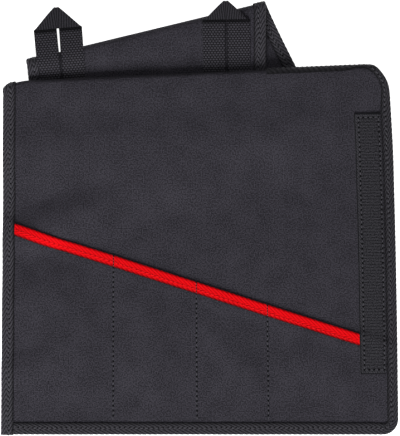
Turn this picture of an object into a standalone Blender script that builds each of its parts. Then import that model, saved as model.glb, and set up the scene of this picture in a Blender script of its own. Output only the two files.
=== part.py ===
"""Tool roll of black woven cloth, lying opened on a flat surface with its cover tucked behind it.

The roll is drawn as flat cut cloth first, seen from above with +Y towards the hanging loops, and each cut
piece is then laid down: the panel turns over its top fold into a short header, and the cover turns under
its own slanting fold. Metres, +Z up, origin on the panel's underside at the middle of the panel.
"""

import math
from collections import namedtuple

import bmesh
import bpy
from mathutils import Vector
from mathutils.geometry import intersect_point_line

# Cloth, tape and webbing
CLOTH = 0.001
TAPE = 0.001
WEBBING = 0.0012
FASTENER = 0.0015
GAP = 0.0003
SLACK = 0.0002

# Panel, measured over its bound edges and its top fold
PANEL_WIDTH = 0.349
LEFT_LEAN = 0.0027
RIGHT_LEAN = 0.007
LEFT_HEIGHT = 0.3095
RIGHT_HEIGHT = 0.3245
TOP_CORNER = 0.033
BOTTOM_CORNER = 0.0135

# Top fold and the header that it turns into, which reaches this far past the cover's right edge
FOLD_RADIUS = 0.0032
FOLD_DROP = 0.0022
DROP_LENGTH = 0.018
HEADER_DEPTH = 0.045
HEADER_MARGIN = 0.0007
HEADER_FADE = 0.062

# The bound rest of the top edge, which only curls down over the fold
TOP_ALLOWANCE = 0.0103
CURL = math.radians(100)
CURL_FADE = 0.04
CURL_FADE_START = 0.006

# Bound edges: the left one is wider than the others
BINDING_WIDTH = 0.011
EDGE_BINDING_WIDTH = 0.0095
BINDING_FADE = 0.022

# Pockets: the heights are of the bound mouth, at the panel's left and right edges
MOUTH_LEFT = 0.1885
MOUTH_RIGHT = 0.0765
MOUTH_TAPE_WIDTH = 0.010
MOUTH_FADE = 0.009
COVERED_FADE = 0.008
POCKET_SWELL = 0.0058
POCKET_FLOOR_FADE = 0.035
# Where a pocket starts as a share of the panel's width, where it is fullest as a share of the pocket's
# own width, and how full it is as a share of POCKET_SWELL
Pocket = namedtuple("Pocket", "start crest swell")
POCKETS = (
    Pocket(0.034, 0.46, 1.0),
    Pocket(0.283, 0.42, 0.97),
    Pocket(0.494, 0.55, 0.97),
    Pocket(0.673, 0.58, 1.0),
)

# Touch fastener strip along the right edge: its ends are shares of the panel's height
STRIP_WIDTH = 0.0228
STRIP_BOTTOM = 0.167
STRIP_TOP = 0.882
STRIP_GROOVE = 0.0008

# Cover, which goes up behind the panel and turns under at a slant
COVER_INSET = 0.0215
COVER_WIDTH = 0.2112
COVER_LEFT_LEAN = math.radians(4.9)
COVER_RISE = 0.020
COVER_FOLD_SLOPE = math.radians(13.6)
COVER_FOLD_RADIUS = 0.0044
COVER_LENGTH = 0.083
COVER_CORNER = 0.0165
COVER_BINDING_WIDTH = 0.0098
COVER_SINK_SHARE = 0.97
BEHIND_FADE = 0.045

# Hanging loops of folded webbing
LOOP_WIDTH = 0.0202
LOOP_TIP = 0.001
LOOP_TAIL = 0.038
LOOP_REACH = 0.045
LOOP_DROOP = 0.0042
# Where a loop's middle is as a share of the cover's width, how far its point stands out over the cover's
# fold as a share of LOOP_REACH, its turn, and the gaps between its strands as shares of LOOP_WIDTH
Loop = namedtuple("Loop", "name middle reach turn upper_gap lower_gap")
LOOPS = (
    Loop("hanging_loop_left", 0.129, 0.89, math.radians(4.9), 0.109, 0.03),
    Loop("hanging_loop_right", 0.832, 0.207, math.radians(0.9), 0.035, 0.025),
)

# Soft swells of the panel: the middle as shares of its width and height, the half lengths along and
# across as shares of its width, the turn, and the rise as a share of SWELL_RISE
SWELL_RISE = 0.0022
Swell = namedtuple("Swell", "across up long short turn rise")
SWELLS = (
    Swell(0.16, 0.67, 0.244, 0.086, math.radians(26), 1.0),
    Swell(0.52, 0.64, 0.178, 0.097, math.radians(-8), 0.86),
    Swell(0.83, 0.55, 0.143, 0.086, math.radians(60), 0.55),
)

BLACK_CLOTH = (0.035, 0.033, 0.042, 1)
BLACK_TAPE = (0.031, 0.030, 0.037, 1)
BLACK_WEBBING = (0.026, 0.025, 0.031, 1)
RED_TAPE = (0.66, 0.006, 0.009, 1)
BLACK_LOOPS = (0.029, 0.028, 0.034, 1)

# What the layers' thicknesses add up to
EDGE_INSET = TAPE + GAP
TAPE_OFFSET = CLOTH / 2 + GAP + TAPE / 2
BOUND_HALF = CLOTH / 2 + GAP + TAPE
MOUTH_TAPE_OFFSET = TAPE_OFFSET + SLACK
POCKET_BASE = CLOTH + GAP
LAYER_STEP = 2 * BOUND_HALF + GAP
BACK_LAYER = BOUND_HALF
FRONT_LAYER = BACK_LAYER + LAYER_STEP
LOOP_LAYER = CLOTH / 2 + GAP + SLACK + WEBBING / 2
HEADER_LAYER = FRONT_LAYER + LOOP_LAYER + WEBBING / 2 + GAP + CLOTH / 2
FOLD_HEIGHT = HEADER_LAYER + 2 * FOLD_RADIUS
BACK_RISE = BACK_LAYER + BOUND_HALF + GAP
PANEL_FLOOR = CLOTH / 2

# Where the panel's four outer corners lie: its top ones are where the fold starts to turn
BOTTOM = -(LEFT_HEIGHT + RIGHT_HEIGHT) / 4
LEFT, RIGHT = -PANEL_WIDTH / 2, PANEL_WIDTH / 2
FOLD_START = FOLD_RADIUS + CLOTH / 2
LEFT_FOOT, RIGHT_FOOT = Vector((LEFT, BOTTOM)), Vector((RIGHT, BOTTOM))
LEFT_HEAD = Vector((LEFT + LEFT_LEAN, BOTTOM + LEFT_HEIGHT - FOLD_START))
RIGHT_HEAD = Vector((RIGHT - RIGHT_LEAN, BOTTOM + RIGHT_HEIGHT - FOLD_START))

# How finely the shapes are cut: steps of a bend, a corner, a strap's strand, its tip and a pocket's width
BEND_STEPS = 6
CORNER_STEPS = 5
LOOP_STEPS = 20
TIP_STEPS = 4
POCKET_STEPS = 5
LOOP_PLACES = (0.0, 1 / 3, 2 / 3, 1.0)

# Where the cloth is creased: shares of the panel's height, of the header's depth, and of the cover's length
# on its front and its back, with the steps across the cover
PANEL_MIDDLE = 0.5
PANEL_UPPER = 0.93
LOWER_STEPS = 8
UPPER_STEPS = 12
FOLD_CREASES = (0.96, 0.983, 1.0)
HEADER_CREASES = (0.3, 0.65)
COVER_FRONT_CREASES = (0.04, 0.08, 0.12, 0.16, 0.2, 0.24, 0.29, 0.37, 0.47, 0.6, 0.75, 0.92)
COVER_BACK_CREASES = (0.25, 0.55, 0.85, 1.2)
COVER_STEPS = 9

# The short step over which a surface's slope is taken
NUDGE = CLOTH / 5


def ease(share):
    """0 below 0, 1 above 1, and a smooth step between."""
    share = min(1.0, max(0.0, share))
    return share * share * (3 - 2 * share)


def mix(first, second, share):
    return first + (second - first) * share


# Flat cutting pattern: lines in the plane are a point and a unit direction


def line_through(first, second):
    return first.copy(), (second - first).normalized()


def left_of(direction):
    return Vector((-direction.y, direction.x))


def moved(line, distance):
    """The line moved to the left of its direction."""
    return line[0] + left_of(line[1]) * distance, line[1]


def crossing(first, second):
    across = left_of(second[1])
    travel = (second[0] - first[0]).dot(across) / first[1].dot(across)
    return first[0] + first[1] * travel


def beyond(line, point):
    """How far the point lies to the left of the line."""
    return (point - line[0]).dot(left_of(line[1]))


def corner_arc(first, second, radius, inset):
    """The round corner between two edges of a pattern that runs anticlockwise, this far inside its outline."""
    centre = crossing(moved(first, radius), moved(second, radius))
    start = math.atan2(*reversed(-left_of(first[1])))
    turn = math.atan2(first[1].cross(second[1]), first[1].dot(second[1]))
    angles = [start + turn * step / CORNER_STEPS for step in range(CORNER_STEPS + 1)]
    return [centre + Vector((math.cos(angle), math.sin(angle))) * (radius - inset) for angle in angles]


def panel_place(across, up):
    """A share of the panel's width and height as a place in the flat pattern."""
    return mix(mix(LEFT_FOOT, LEFT_HEAD, up), mix(RIGHT_FOOT, RIGHT_HEAD, up), across)


LEFT_SIDE = line_through(LEFT_HEAD, LEFT_FOOT)
BOTTOM_SIDE = line_through(LEFT_FOOT, RIGHT_FOOT)
RIGHT_SIDE = line_through(RIGHT_FOOT, RIGHT_HEAD)
FOLD_LINE = line_through(LEFT_HEAD, RIGHT_HEAD)
FOLD_LENGTH = (RIGHT_HEAD - LEFT_HEAD).length
MOUTH_OUTER = line_through(Vector((LEFT, BOTTOM + MOUTH_LEFT)), Vector((RIGHT, BOTTOM + MOUTH_RIGHT)))
MOUTH_LINE = moved(MOUTH_OUTER, -EDGE_INSET)

# The cloth's own edges lie inside the bindings
CUT_LEFT = moved(LEFT_SIDE, EDGE_INSET)
CUT_BOTTOM = moved(BOTTOM_SIDE, EDGE_INSET)
CUT_RIGHT = moved(RIGHT_SIDE, EDGE_INSET)
TOP_SIDE = (FOLD_LINE[0] + left_of(FOLD_LINE[1]) * (TOP_ALLOWANCE + EDGE_INSET), -FOLD_LINE[1])
HEADER_LENGTH = math.pi * FOLD_RADIUS + HEADER_DEPTH
HEADER_END = (FOLD_LINE[0] + left_of(FOLD_LINE[1]) * HEADER_LENGTH, -FOLD_LINE[1])
COVER_LEFT = LEFT + COVER_INSET
COVER_RIGHT = COVER_LEFT + COVER_WIDTH
HEADER_LIMIT = (Vector((COVER_RIGHT + HEADER_MARGIN, 0)), Vector((0, 1)))
HEADER_SIDE = (crossing(FOLD_LINE, HEADER_LIMIT), left_of(FOLD_LINE[1]))
HEADER_WIDTH = (HEADER_SIDE[0] - LEFT_HEAD).length

STRIP_RIGHT = moved(RIGHT_SIDE, EDGE_BINDING_WIDTH + STRIP_GROOVE)
STRIP_LEFT = moved(STRIP_RIGHT, STRIP_WIDTH)

# The cover's pattern before it turns under: its fold starts on COVER_FOLD
COVER_LOW = crossing(FOLD_LINE, (Vector((0, 0)), Vector((0, 1)))).y - HEADER_DEPTH
COVER_HEEL = Vector((COVER_LEFT, BOTTOM + LEFT_HEIGHT + COVER_RISE))
COVER_CREST = (COVER_HEEL, Vector((math.cos(COVER_FOLD_SLOPE), math.sin(COVER_FOLD_SLOPE))))
COVER_FOLD = moved(COVER_CREST, -(COVER_FOLD_RADIUS + CLOTH / 2))
COVER_SIDE_LEFT = (COVER_HEEL, Vector((math.sin(COVER_LEFT_LEAN), -math.cos(COVER_LEFT_LEAN))))
COVER_SIDE_RIGHT = (Vector((COVER_RIGHT, 0)), Vector((0, 1)))
COVER_TOP = crossing(COVER_SIDE_RIGHT, COVER_FOLD).y + math.pi * COVER_FOLD_RADIUS + COVER_LENGTH
COVER_SIDE_TOP = (Vector((0, COVER_TOP)), Vector((-1, 0)))
COVER_CUT_LOW = (Vector((0, COVER_LOW)), Vector((1, 0)))


def turned_under(point):
    """Where a point past the cover's fold comes to lie, seen from above."""
    past = beyond(COVER_FOLD, point) - math.pi * COVER_FOLD_RADIUS
    foot = point - left_of(COVER_FOLD[1]) * beyond(COVER_FOLD, point)
    return foot - left_of(COVER_FOLD[1]) * past


COVER_FOLD_END = moved(COVER_FOLD, math.pi * COVER_FOLD_RADIUS)
BACK_CORNERS = [
    turned_under(crossing(side, end))
    for side, end in (
        (COVER_SIDE_LEFT, COVER_FOLD_END),
        (COVER_SIDE_RIGHT, COVER_FOLD_END),
        (COVER_SIDE_RIGHT, COVER_SIDE_TOP),
        (COVER_SIDE_LEFT, COVER_SIDE_TOP),
    )
]
BACK_SIDES = [line_through(*pair) for pair in zip(BACK_CORNERS[1:], BACK_CORNERS[2:] + BACK_CORNERS[:1])]


# How the flat pattern lies


def hanging_drop():
    """How far the bound top right edge hangs below the fold."""
    straight = TOP_ALLOWANCE + EDGE_INSET - FOLD_RADIUS * CURL
    return FOLD_RADIUS * (1 - math.cos(CURL)) + straight * math.sin(CURL) + GAP


def past_header(along):
    """0 over the header and 1 at the panel's right end."""
    return ease((along - HEADER_WIDTH) / (FOLD_LENGTH - HEADER_WIDTH))


def bind_lift(point):
    """How far the binding under the panel's edges holds them off the surface."""
    free = 1.0
    for side in (LEFT_SIDE, BOTTOM_SIDE, RIGHT_SIDE):
        free *= ease((beyond(side, point) - BINDING_WIDTH) / BINDING_FADE)
    return (TAPE + GAP) * (1 - free)


def swells(point):
    rise = 0.0
    for swell in SWELLS:
        away = (point - panel_place(swell.across, swell.up)) / PANEL_WIDTH
        along = Vector((math.cos(swell.turn), math.sin(swell.turn)))
        far = (away.dot(along) / swell.long) ** 2 + (away.dot(left_of(along)) / swell.short) ** 2
        rise += SWELL_RISE * swell.rise * max(0.0, 1 - far) ** 2
    return rise


def panel_height(point):
    """The height of the middle of the panel's cloth over the surface that it lies on."""
    along = (point - FOLD_LINE[0]).dot(FOLD_LINE[1])
    below = max(0.0, -beyond(FOLD_LINE, point))
    behind = math.prod(1 - ease(beyond(side, point) / BEHIND_FADE) for side in BACK_SIDES)
    low = PANEL_FLOOR + bind_lift(point) * (1 - behind) + BACK_RISE * behind
    low += swells(point)
    past = past_header(along)
    high = mix(FOLD_HEIGHT, hanging_drop(), past) - FOLD_DROP * ease(below / DROP_LENGTH)
    start = mix(HEADER_DEPTH, CURL_FADE_START, past)
    length = mix(HEADER_FADE, HEADER_FADE + HEADER_DEPTH, past)
    return mix(high, low, ease((below - start) / length))


def bent(foot, outward, height, past, radius, most_turn):
    """A point that has gone this far past the start of a fold, which bends down and under."""
    turn = min(past / radius, most_turn)
    straight = past - radius * turn
    out = radius * math.sin(turn) + straight * math.cos(turn)
    down = radius * (1 - math.cos(turn)) + straight * math.sin(turn)
    place = foot + outward * out
    return Vector((place.x, place.y, height - down))


def on_panel(point):
    """The middle of the panel's cloth at a place of the flat pattern."""
    past = beyond(FOLD_LINE, point)
    if past <= 0:
        return Vector((point.x, point.y, panel_height(point)))
    outward = left_of(FOLD_LINE[1])
    foot = point - outward * past
    along = (foot - FOLD_LINE[0]).dot(FOLD_LINE[1])
    most_turn = mix(math.pi, CURL, ease((along - HEADER_WIDTH) / CURL_FADE))
    return bent(foot, outward, panel_height(foot), past, FOLD_RADIUS, most_turn)


def front_height(point):
    """The height of the cover's front layer, which sinks from its fold to below the header."""
    back = -beyond(COVER_FOLD, point)
    if back <= 0:
        return BACK_LAYER + 2 * COVER_FOLD_RADIUS
    foot = point + left_of(COVER_FOLD[1]) * back
    edge = moved(FOLD_LINE, FOLD_START)
    reach = beyond(edge, foot) / COVER_FOLD[1].dot(FOLD_LINE[1])
    sunk = ease(back / (reach * COVER_SINK_SHARE))
    return mix(BACK_LAYER + 2 * COVER_FOLD_RADIUS, FRONT_LAYER, sunk)


def on_cover(point):
    """The middle of the cover's cloth at a place of the flat pattern."""
    past = beyond(COVER_FOLD, point)
    if past <= 0:
        return Vector((point.x, point.y, front_height(point)))
    outward = left_of(COVER_FOLD[1])
    foot = point - outward * past
    return bent(foot, outward, front_height(foot), past, COVER_FOLD_RADIUS, math.pi)


def raised(surface, point, offset):
    """A point at this distance over the middle of a laid piece of cloth, along its own normal."""
    east = surface(point + Vector((NUDGE, 0))) - surface(point - Vector((NUDGE, 0)))
    north = surface(point + Vector((0, NUDGE))) - surface(point - Vector((0, NUDGE)))
    return surface(point) + east.cross(north).normalized() * offset


# Pockets


def share_across(point):
    """The share of the panel's width at a place."""
    left, right = beyond(LEFT_SIDE, point), beyond(RIGHT_SIDE, point)
    return left / (left + right)


def pocket_swell(point):
    """How far a pocket stands off the panel between its two seams."""
    share = share_across(point)
    ends = [pocket.start for pocket in POCKETS[1:]] + [strip_share(point)]
    for pocket, end in zip(POCKETS, ends):
        if pocket.start < share < end:
            place = (share - pocket.start) / (end - pocket.start)
            fullness = math.sin(math.pi * place ** (math.log(0.5) / math.log(pocket.crest))) ** 2
            above = beyond(BOTTOM_SIDE, point) - BINDING_WIDTH
            return POCKET_SWELL * pocket.swell * fullness * ease(above / POCKET_FLOOR_FADE)
    return 0.0


def strip_share(point):
    """The share of the panel's width where the fastener strip starts."""
    level = (point, Vector((1, 0)))
    return share_across(crossing(level, STRIP_LEFT))


def pocket_offset(point):
    """How far the middle of the pocket cloth lies over the middle of the panel's."""
    below = -beyond(MOUTH_LINE, point)
    in_from_left = beyond(LEFT_SIDE, point) - BINDING_WIDTH
    in_from_right = beyond(STRIP_LEFT, point)
    inside = 1 - ease(-in_from_left / MOUTH_FADE)
    inside *= 1 - ease(-in_from_right / MOUTH_FADE)
    taped = inside * (1 - ease((below - MOUTH_TAPE_WIDTH) / MOUTH_FADE))
    return POCKET_BASE + (TAPE + GAP + SLACK) * taped + pocket_swell(point)


def top_cloth(point):
    """How far the uppermost cloth lies over the panel's, under a binding or the fastener strip."""
    above = beyond(MOUTH_LINE, point)
    if above <= 0:
        return pocket_offset(point)
    edge = point - left_of(MOUTH_LINE[1]) * above
    return pocket_offset(edge) * (1 - ease((above - GAP) / COVERED_FADE))


# Making the pieces


def clear_scene():
    for item in list(bpy.data.objects):
        bpy.data.objects.remove(item)


def new_collection(name):
    collection = bpy.data.collections.new(name)
    bpy.context.scene.collection.children.link(collection)
    return collection


def new_material(name, colour, roughness):
    material = bpy.data.materials.new(name)
    material.use_nodes = True
    shader = material.node_tree.nodes["Principled BSDF"]
    shader.inputs["Base Color"].default_value = colour
    shader.inputs["Roughness"].default_value = roughness
    shader.inputs["Metallic"].default_value = 0.0
    return material


def finished(name, pattern, thickness, material, collection):
    """An object from a laid middle surface, given its thickness on both sides."""
    mesh = bpy.data.meshes.new(name)
    bmesh.ops.recalc_face_normals(pattern, faces=pattern.faces)
    pattern.to_mesh(mesh)
    pattern.free()
    mesh.materials.append(material)
    mesh.shade_smooth()
    mesh.set_sharp_from_angle(angle=math.radians(40))
    piece = bpy.data.objects.new(name, mesh)
    collection.objects.link(piece)
    wall = piece.modifiers.new("wall", "SOLIDIFY")
    wall.thickness = thickness
    wall.offset = 0
    wall.use_even_offset = True
    wall.use_quality_normals = True
    return piece


def cut_pattern(outline, cuts):
    """A flat face of this outline, creased along the cuts."""
    pattern = bmesh.new()
    corners = [pattern.verts.new((place.x, place.y, 0)) for place in outline]
    sides = [pattern.edges.new(pair) for pair in zip(corners, corners[1:] + corners[:1])]
    bmesh.ops.edgeloop_fill(pattern, edges=sides)
    for start, direction in cuts:
        side = left_of(direction)
        bmesh.ops.bisect_plane(
            pattern,
            geom=pattern.verts[:] + pattern.edges[:] + pattern.faces[:],
            dist=1e-6,
            plane_co=(start.x, start.y, 0),
            plane_no=(side.x, side.y, 0),
        )
    bmesh.ops.remove_doubles(pattern, verts=pattern.verts, dist=1e-5)
    return pattern


def laid_cloth(name, outline, cuts, lay, thickness, material, collection):
    """Cloth cut to an outline, creased along the cuts, and laid by a function of its flat place."""
    pattern = cut_pattern(outline, cuts)
    for corner in pattern.verts:
        corner.co = lay(corner.co.to_2d())
    return finished(name, pattern, thickness, material, collection)


def on_route(place, route):
    """Whether a flat place lies on a route of straight runs."""
    for first, second in zip(route, route[1:]):
        near, share = intersect_point_line(place, first, second)
        if (near - place).length < 1e-5 and -1e-4 < share < 1.0001:
            return True
    return False


def laid_tape(name, outer, inner, cuts, lay, material, collection):
    """Tape folded round an edge: two legs between the outer and inner routes, joined along the outer one."""
    pattern = cut_pattern(outer + inner[::-1], cuts)
    grown = bmesh.ops.extrude_face_region(pattern, geom=pattern.faces[:], use_keep_orig=True)
    raised_corners = [item for item in grown["geom"] if isinstance(item, bmesh.types.BMVert)]
    bmesh.ops.translate(pattern, verts=raised_corners, vec=(0, 0, 1))
    sides = [face for face in pattern.faces if abs(face.normal.z) < 0.5]
    spare = [face for face in sides if not all(on_route(corner.co.to_2d(), outer) for corner in face.verts)]
    bmesh.ops.delete(pattern, geom=spare, context="FACES_ONLY")
    for corner in pattern.verts:
        corner.co = lay(corner.co.to_2d(), corner.co.z)
    return finished(name, pattern, TAPE, material, collection)


def laid_band(name, stations, places, lay, thickness, material, collection):
    """A band of cloth as a grid: one row for each station, one point of it for each place across."""
    pattern = bmesh.new()
    rows, columns = len(stations) - 1, len(places) - 1
    bmesh.ops.create_grid(pattern, x_segments=rows, y_segments=columns, size=0.5)
    for corner in pattern.verts:
        row = round((corner.co.x + 0.5) * rows)
        column = round((corner.co.y + 0.5) * columns)
        corner.co = lay(stations[row], places[column])
    return finished(name, pattern, thickness, material, collection)


def panel_tape(point, level):
    """Binding tape on the panel, over the pocket cloth where that is bound in too."""
    return raised(on_panel, point, mix(-TAPE_OFFSET, top_cloth(point) + TAPE_OFFSET, level))


def cover_tape(point, level):
    return raised(on_cover, point, mix(-TAPE_OFFSET, TAPE_OFFSET, level))


def mouth_tape(point, level):
    offset = pocket_offset(point) + mix(-MOUTH_TAPE_OFFSET, MOUTH_TAPE_OFFSET, level)
    return raised(on_panel, point, offset)


# Lines that the panel's cloth and its neighbours are creased along


def panel_columns():
    """Lines up the panel: the bound edges, and each pocket's own steps."""
    strip = strip_share(Vector((0, 0)))
    starts = [pocket.start for pocket in POCKETS] + [strip]
    shares = []
    for start, end in zip(starts, starts[1:]):
        shares += [mix(start, end, step / POCKET_STEPS) for step in range(POCKET_STEPS)]
    beside = (0, -MOUTH_FADE / 2, -MOUTH_FADE, -STRIP_WIDTH)
    return [share_line(share) for share in shares] + [moved(STRIP_LEFT, step) for step in beside]


def panel_rows():
    """Lines across the panel up to its top fold, closer where it comes down off its layers."""
    bound = (BINDING_WIDTH + GAP) / LEFT_HEIGHT
    shares = [mix(bound, PANEL_MIDDLE, step / LOWER_STEPS) for step in range(LOWER_STEPS)]
    shares += [mix(PANEL_MIDDLE, PANEL_UPPER, step / UPPER_STEPS) for step in range(UPPER_STEPS + 1)]
    return [level_line(share) for share in shares + list(FOLD_CREASES)]


def share_line(share):
    return line_through(panel_place(share, 0), panel_place(share, 1))


def level_line(share):
    return line_through(panel_place(0, share), panel_place(1, share))


def fold_steps(line, radius):
    """Lines along a fold, one for each step of its bend."""
    return [moved(line, math.pi * radius * step / BEND_STEPS) for step in range(BEND_STEPS + 1)]


def mouth_rows():
    """Lines along the pockets' mouth: its edge, its tape, and where the cloth beside it comes down."""
    steps = (-MOUTH_TAPE_WIDTH - MOUTH_FADE, -MOUTH_TAPE_WIDTH, EDGE_INSET, COVERED_FADE / 2, COVERED_FADE)
    return [moved(MOUTH_OUTER, step) for step in steps] + [MOUTH_LINE]


def panel_outline(inset, low, high):
    """The panel's bound edges from one line, round by the bottom and the right side, to another."""
    edges = [moved(side, inset) for side in (BOTTOM_SIDE, RIGHT_SIDE, TOP_SIDE)]
    route = [crossing(edges[0], low)]
    route += corner_arc(BOTTOM_SIDE, RIGHT_SIDE, BOTTOM_CORNER, inset)
    route += corner_arc(RIGHT_SIDE, TOP_SIDE, TOP_CORNER, inset)
    return route + [crossing(edges[2], high)]


def build_panel(materials, collection):
    creases = panel_rows() + panel_columns() + fold_steps(FOLD_LINE, FOLD_RADIUS)
    header = [moved(HEADER_END, HEADER_DEPTH * share) for share in HEADER_CREASES]
    outline = panel_outline(EDGE_INSET, CUT_LEFT, HEADER_SIDE)
    outline += [crossing(HEADER_SIDE, HEADER_END), crossing(HEADER_END, CUT_LEFT)]
    laid_cloth("panel", outline, creases + header, on_panel, CLOTH, materials["cloth"], collection)

    # The left binding runs from the header's end, over the top fold, down to the bottom edge
    routes = [
        [crossing(moved(LEFT_SIDE, inset), end) for end in (HEADER_END, BOTTOM_SIDE)]
        for inset in (TAPE / 2, BINDING_WIDTH)
    ]
    creases += header + mouth_rows()
    laid_tape("left_binding", *routes, creases, panel_tape, materials["tape"], collection)

    # The edge binding runs along the bottom, round two corners and back along the top to the header
    start, end = moved(LEFT_SIDE, BINDING_WIDTH + GAP), moved(HEADER_SIDE, -GAP)
    routes = [panel_outline(inset, start, end) for inset in (TAPE / 2, EDGE_BINDING_WIDTH)]
    laid_tape("edge_binding", *routes, creases, panel_tape, materials["tape"], collection)


def build_pockets(materials, collection):
    creases = panel_rows() + panel_columns() + mouth_rows()
    outline = [crossing(CUT_LEFT, CUT_BOTTOM)]
    outline += corner_arc(BOTTOM_SIDE, RIGHT_SIDE, BOTTOM_CORNER, EDGE_INSET)
    outline += [crossing(CUT_RIGHT, MOUTH_LINE), crossing(MOUTH_LINE, CUT_LEFT)]

    def lay(point):
        return raised(on_panel, point, pocket_offset(point))

    laid_cloth("pocket_cloth", outline, creases, lay, CLOTH, materials["cloth"], collection)

    # The mouth's tape goes from the left binding to the fastener strip
    ends = (moved(LEFT_SIDE, BINDING_WIDTH + GAP), moved(STRIP_LEFT, GAP))
    routes = [
        [crossing(moved(MOUTH_OUTER, -inset), end) for end in ends] for inset in (TAPE / 2, MOUTH_TAPE_WIDTH)
    ]
    laid_tape("mouth_binding", *routes, creases, mouth_tape, materials["red"], collection)


def build_strip(materials, collection):
    ends = (level_line(STRIP_BOTTOM), level_line(STRIP_TOP))
    outline = [crossing(STRIP_RIGHT, end) for end in ends]
    outline += [crossing(STRIP_LEFT, end) for end in reversed(ends)]

    def lay(point):
        return raised(on_panel, point, top_cloth(point) + CLOTH / 2 + GAP + FASTENER / 2)

    creases = panel_rows() + panel_columns() + mouth_rows()
    laid_cloth("fastener_strip", outline, creases, lay, FASTENER, materials["loops"], collection)


def cover_outline(inset):
    """The cover's bound edges, from the bottom of its right side round to the bottom of its left side."""
    route = [crossing(moved(COVER_SIDE_RIGHT, inset), COVER_CUT_LOW)]
    route += corner_arc(COVER_SIDE_RIGHT, COVER_SIDE_TOP, COVER_CORNER, inset)
    route += corner_arc(COVER_SIDE_TOP, COVER_SIDE_LEFT, COVER_CORNER, inset)
    return route + [crossing(moved(COVER_SIDE_LEFT, inset), COVER_CUT_LOW)]


def build_cover(materials, collection):
    creases = fold_steps(COVER_FOLD, COVER_FOLD_RADIUS)
    creases += [moved(creases[-1], share * COVER_LENGTH) for share in COVER_BACK_CREASES]
    creases += [moved(COVER_FOLD, -share * COVER_LENGTH) for share in COVER_FRONT_CREASES]
    low = [crossing(side, COVER_CUT_LOW) for side in (COVER_SIDE_LEFT, COVER_SIDE_RIGHT)]
    high = [crossing(side, COVER_SIDE_TOP) for side in (COVER_SIDE_LEFT, COVER_SIDE_RIGHT)]
    shares = [step / COVER_STEPS for step in range(1, COVER_STEPS)]
    creases += [line_through(mix(*low, share), mix(*high, share)) for share in shares]
    laid_cloth("cover", cover_outline(EDGE_INSET), creases, on_cover, CLOTH, materials["cloth"], collection)

    # One length of tape goes up the right edge, round the end and back down the left edge
    routes = [cover_outline(inset) for inset in (TAPE / 2, COVER_BINDING_WIDTH)]
    laid_tape("cover_binding", *routes, creases, cover_tape, materials["tape"], collection)


# Hanging loops: a strap goes up, turns over twice at a slant to make a point, and comes back down


def over(point, line, radius):
    """A place and height on a strap after the part past the line is turned up and over it."""
    place, height = point
    past = beyond(line, place)
    if past <= 0:
        return place, height
    outward = left_of(line[1])
    foot = place - outward * past
    turn = min(past / radius, math.pi)
    reach = radius - height
    out = reach * math.sin(turn) + (past - radius * turn) * math.cos(turn)
    return foot + outward * out, radius - reach * math.cos(turn)


STRAP_RADIUS = (WEBBING + GAP) / 2
STRAP_BEND = math.pi * STRAP_RADIUS * math.sqrt(2)
STRAND_GAP = STRAP_BEND + LOOP_TIP


def strap_place(strand, side, run):
    """Where a point of the strap goes: its place across, 0 inner and 1 outer, and its running length."""
    first = (Vector((0, strand)), Vector((1, 1)).normalized())
    second = (Vector((0, strand + STRAND_GAP)), Vector((1, -1)).normalized())
    folded_once = over((Vector((-LOOP_WIDTH * side, run)), 0.0), second, STRAP_RADIUS)
    return over(folded_once, first, STRAP_RADIUS)


def strap_rows(strand):
    """The strap's rows as running lengths at its inner and outer edges: strand, fold, tip, fold, strand."""
    turned = strand + STRAND_GAP
    end = turned + STRAP_BEND + strand
    stretches = (
        (LOOP_STEPS, strand, strand - LOOP_WIDTH),
        (BEND_STEPS, strand + STRAP_BEND, strand - LOOP_WIDTH + STRAP_BEND),
        (TIP_STEPS, turned, turned + LOOP_WIDTH),
        (BEND_STEPS, turned + STRAP_BEND, turned + LOOP_WIDTH + STRAP_BEND),
        (LOOP_STEPS, end, end),
    )
    rows = [(0.0, 0.0)]
    for steps, inner, outer in stretches:
        before = rows[-1]
        shares = [step / steps for step in range(1, steps + 1)]
        rows += [(mix(before[0], inner, share), mix(before[1], outer, share)) for share in shares]
    return rows


def build_loop(loop, materials, collection):
    up = Vector((-math.sin(loop.turn), math.cos(loop.turn)))
    side = Vector((up.y, -up.x))
    upright = (Vector((COVER_LEFT + COVER_WIDTH * loop.middle, 0)), Vector((0, 1)))
    point = crossing(upright, COVER_CREST) + Vector((0, LOOP_REACH * loop.reach))
    apex = point - up * (STRAP_BEND / 2)
    tail_line = moved(FOLD_LINE, FOLD_START - LOOP_TAIL)
    strand = beyond(tail_line, apex) / up.dot(left_of(FOLD_LINE[1]))
    base = apex - up * strand

    def lay(row, share):
        flat, height = strap_place(strand, share, mix(row[0], row[1], share))
        below = strand - flat.y
        gap = LOOP_WIDTH * mix(loop.upper_gap, loop.lower_gap, ease(below / LOOP_WIDTH - 1))
        away = flat.x - STRAND_GAP / 2
        drawn_in = (STRAND_GAP - gap) / 2 * ease(below / LOOP_WIDTH)
        across = away - drawn_in * min(1.0, max(-1.0, away / (STRAND_GAP / 2)))
        spot = base + side * across + up * flat.y
        past = max(0.0, beyond(COVER_FOLD, spot))
        droop = LOOP_DROOP * (past / LOOP_REACH) ** 2
        return Vector((spot.x, spot.y, front_height(spot) + LOOP_LAYER - droop + height))

    laid_band(loop.name, strap_rows(strand), LOOP_PLACES, lay, WEBBING, materials["webbing"], collection)


def build():
    clear_scene()
    collection = new_collection("tool_roll")
    materials = {
        "cloth": new_material("black_cloth", BLACK_CLOTH, 0.85),
        "tape": new_material("black_tape", BLACK_TAPE, 0.8),
        "webbing": new_material("black_webbing", BLACK_WEBBING, 0.75),
        "red": new_material("red_tape", RED_TAPE, 0.65),
        "loops": new_material("black_fastener", BLACK_LOOPS, 0.9),
    }
    build_panel(materials, collection)
    build_pockets(materials, collection)
    build_strip(materials, collection)
    build_cover(materials, collection)
    for loop in LOOPS:
        build_loop(loop, materials, collection)


build()
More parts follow.
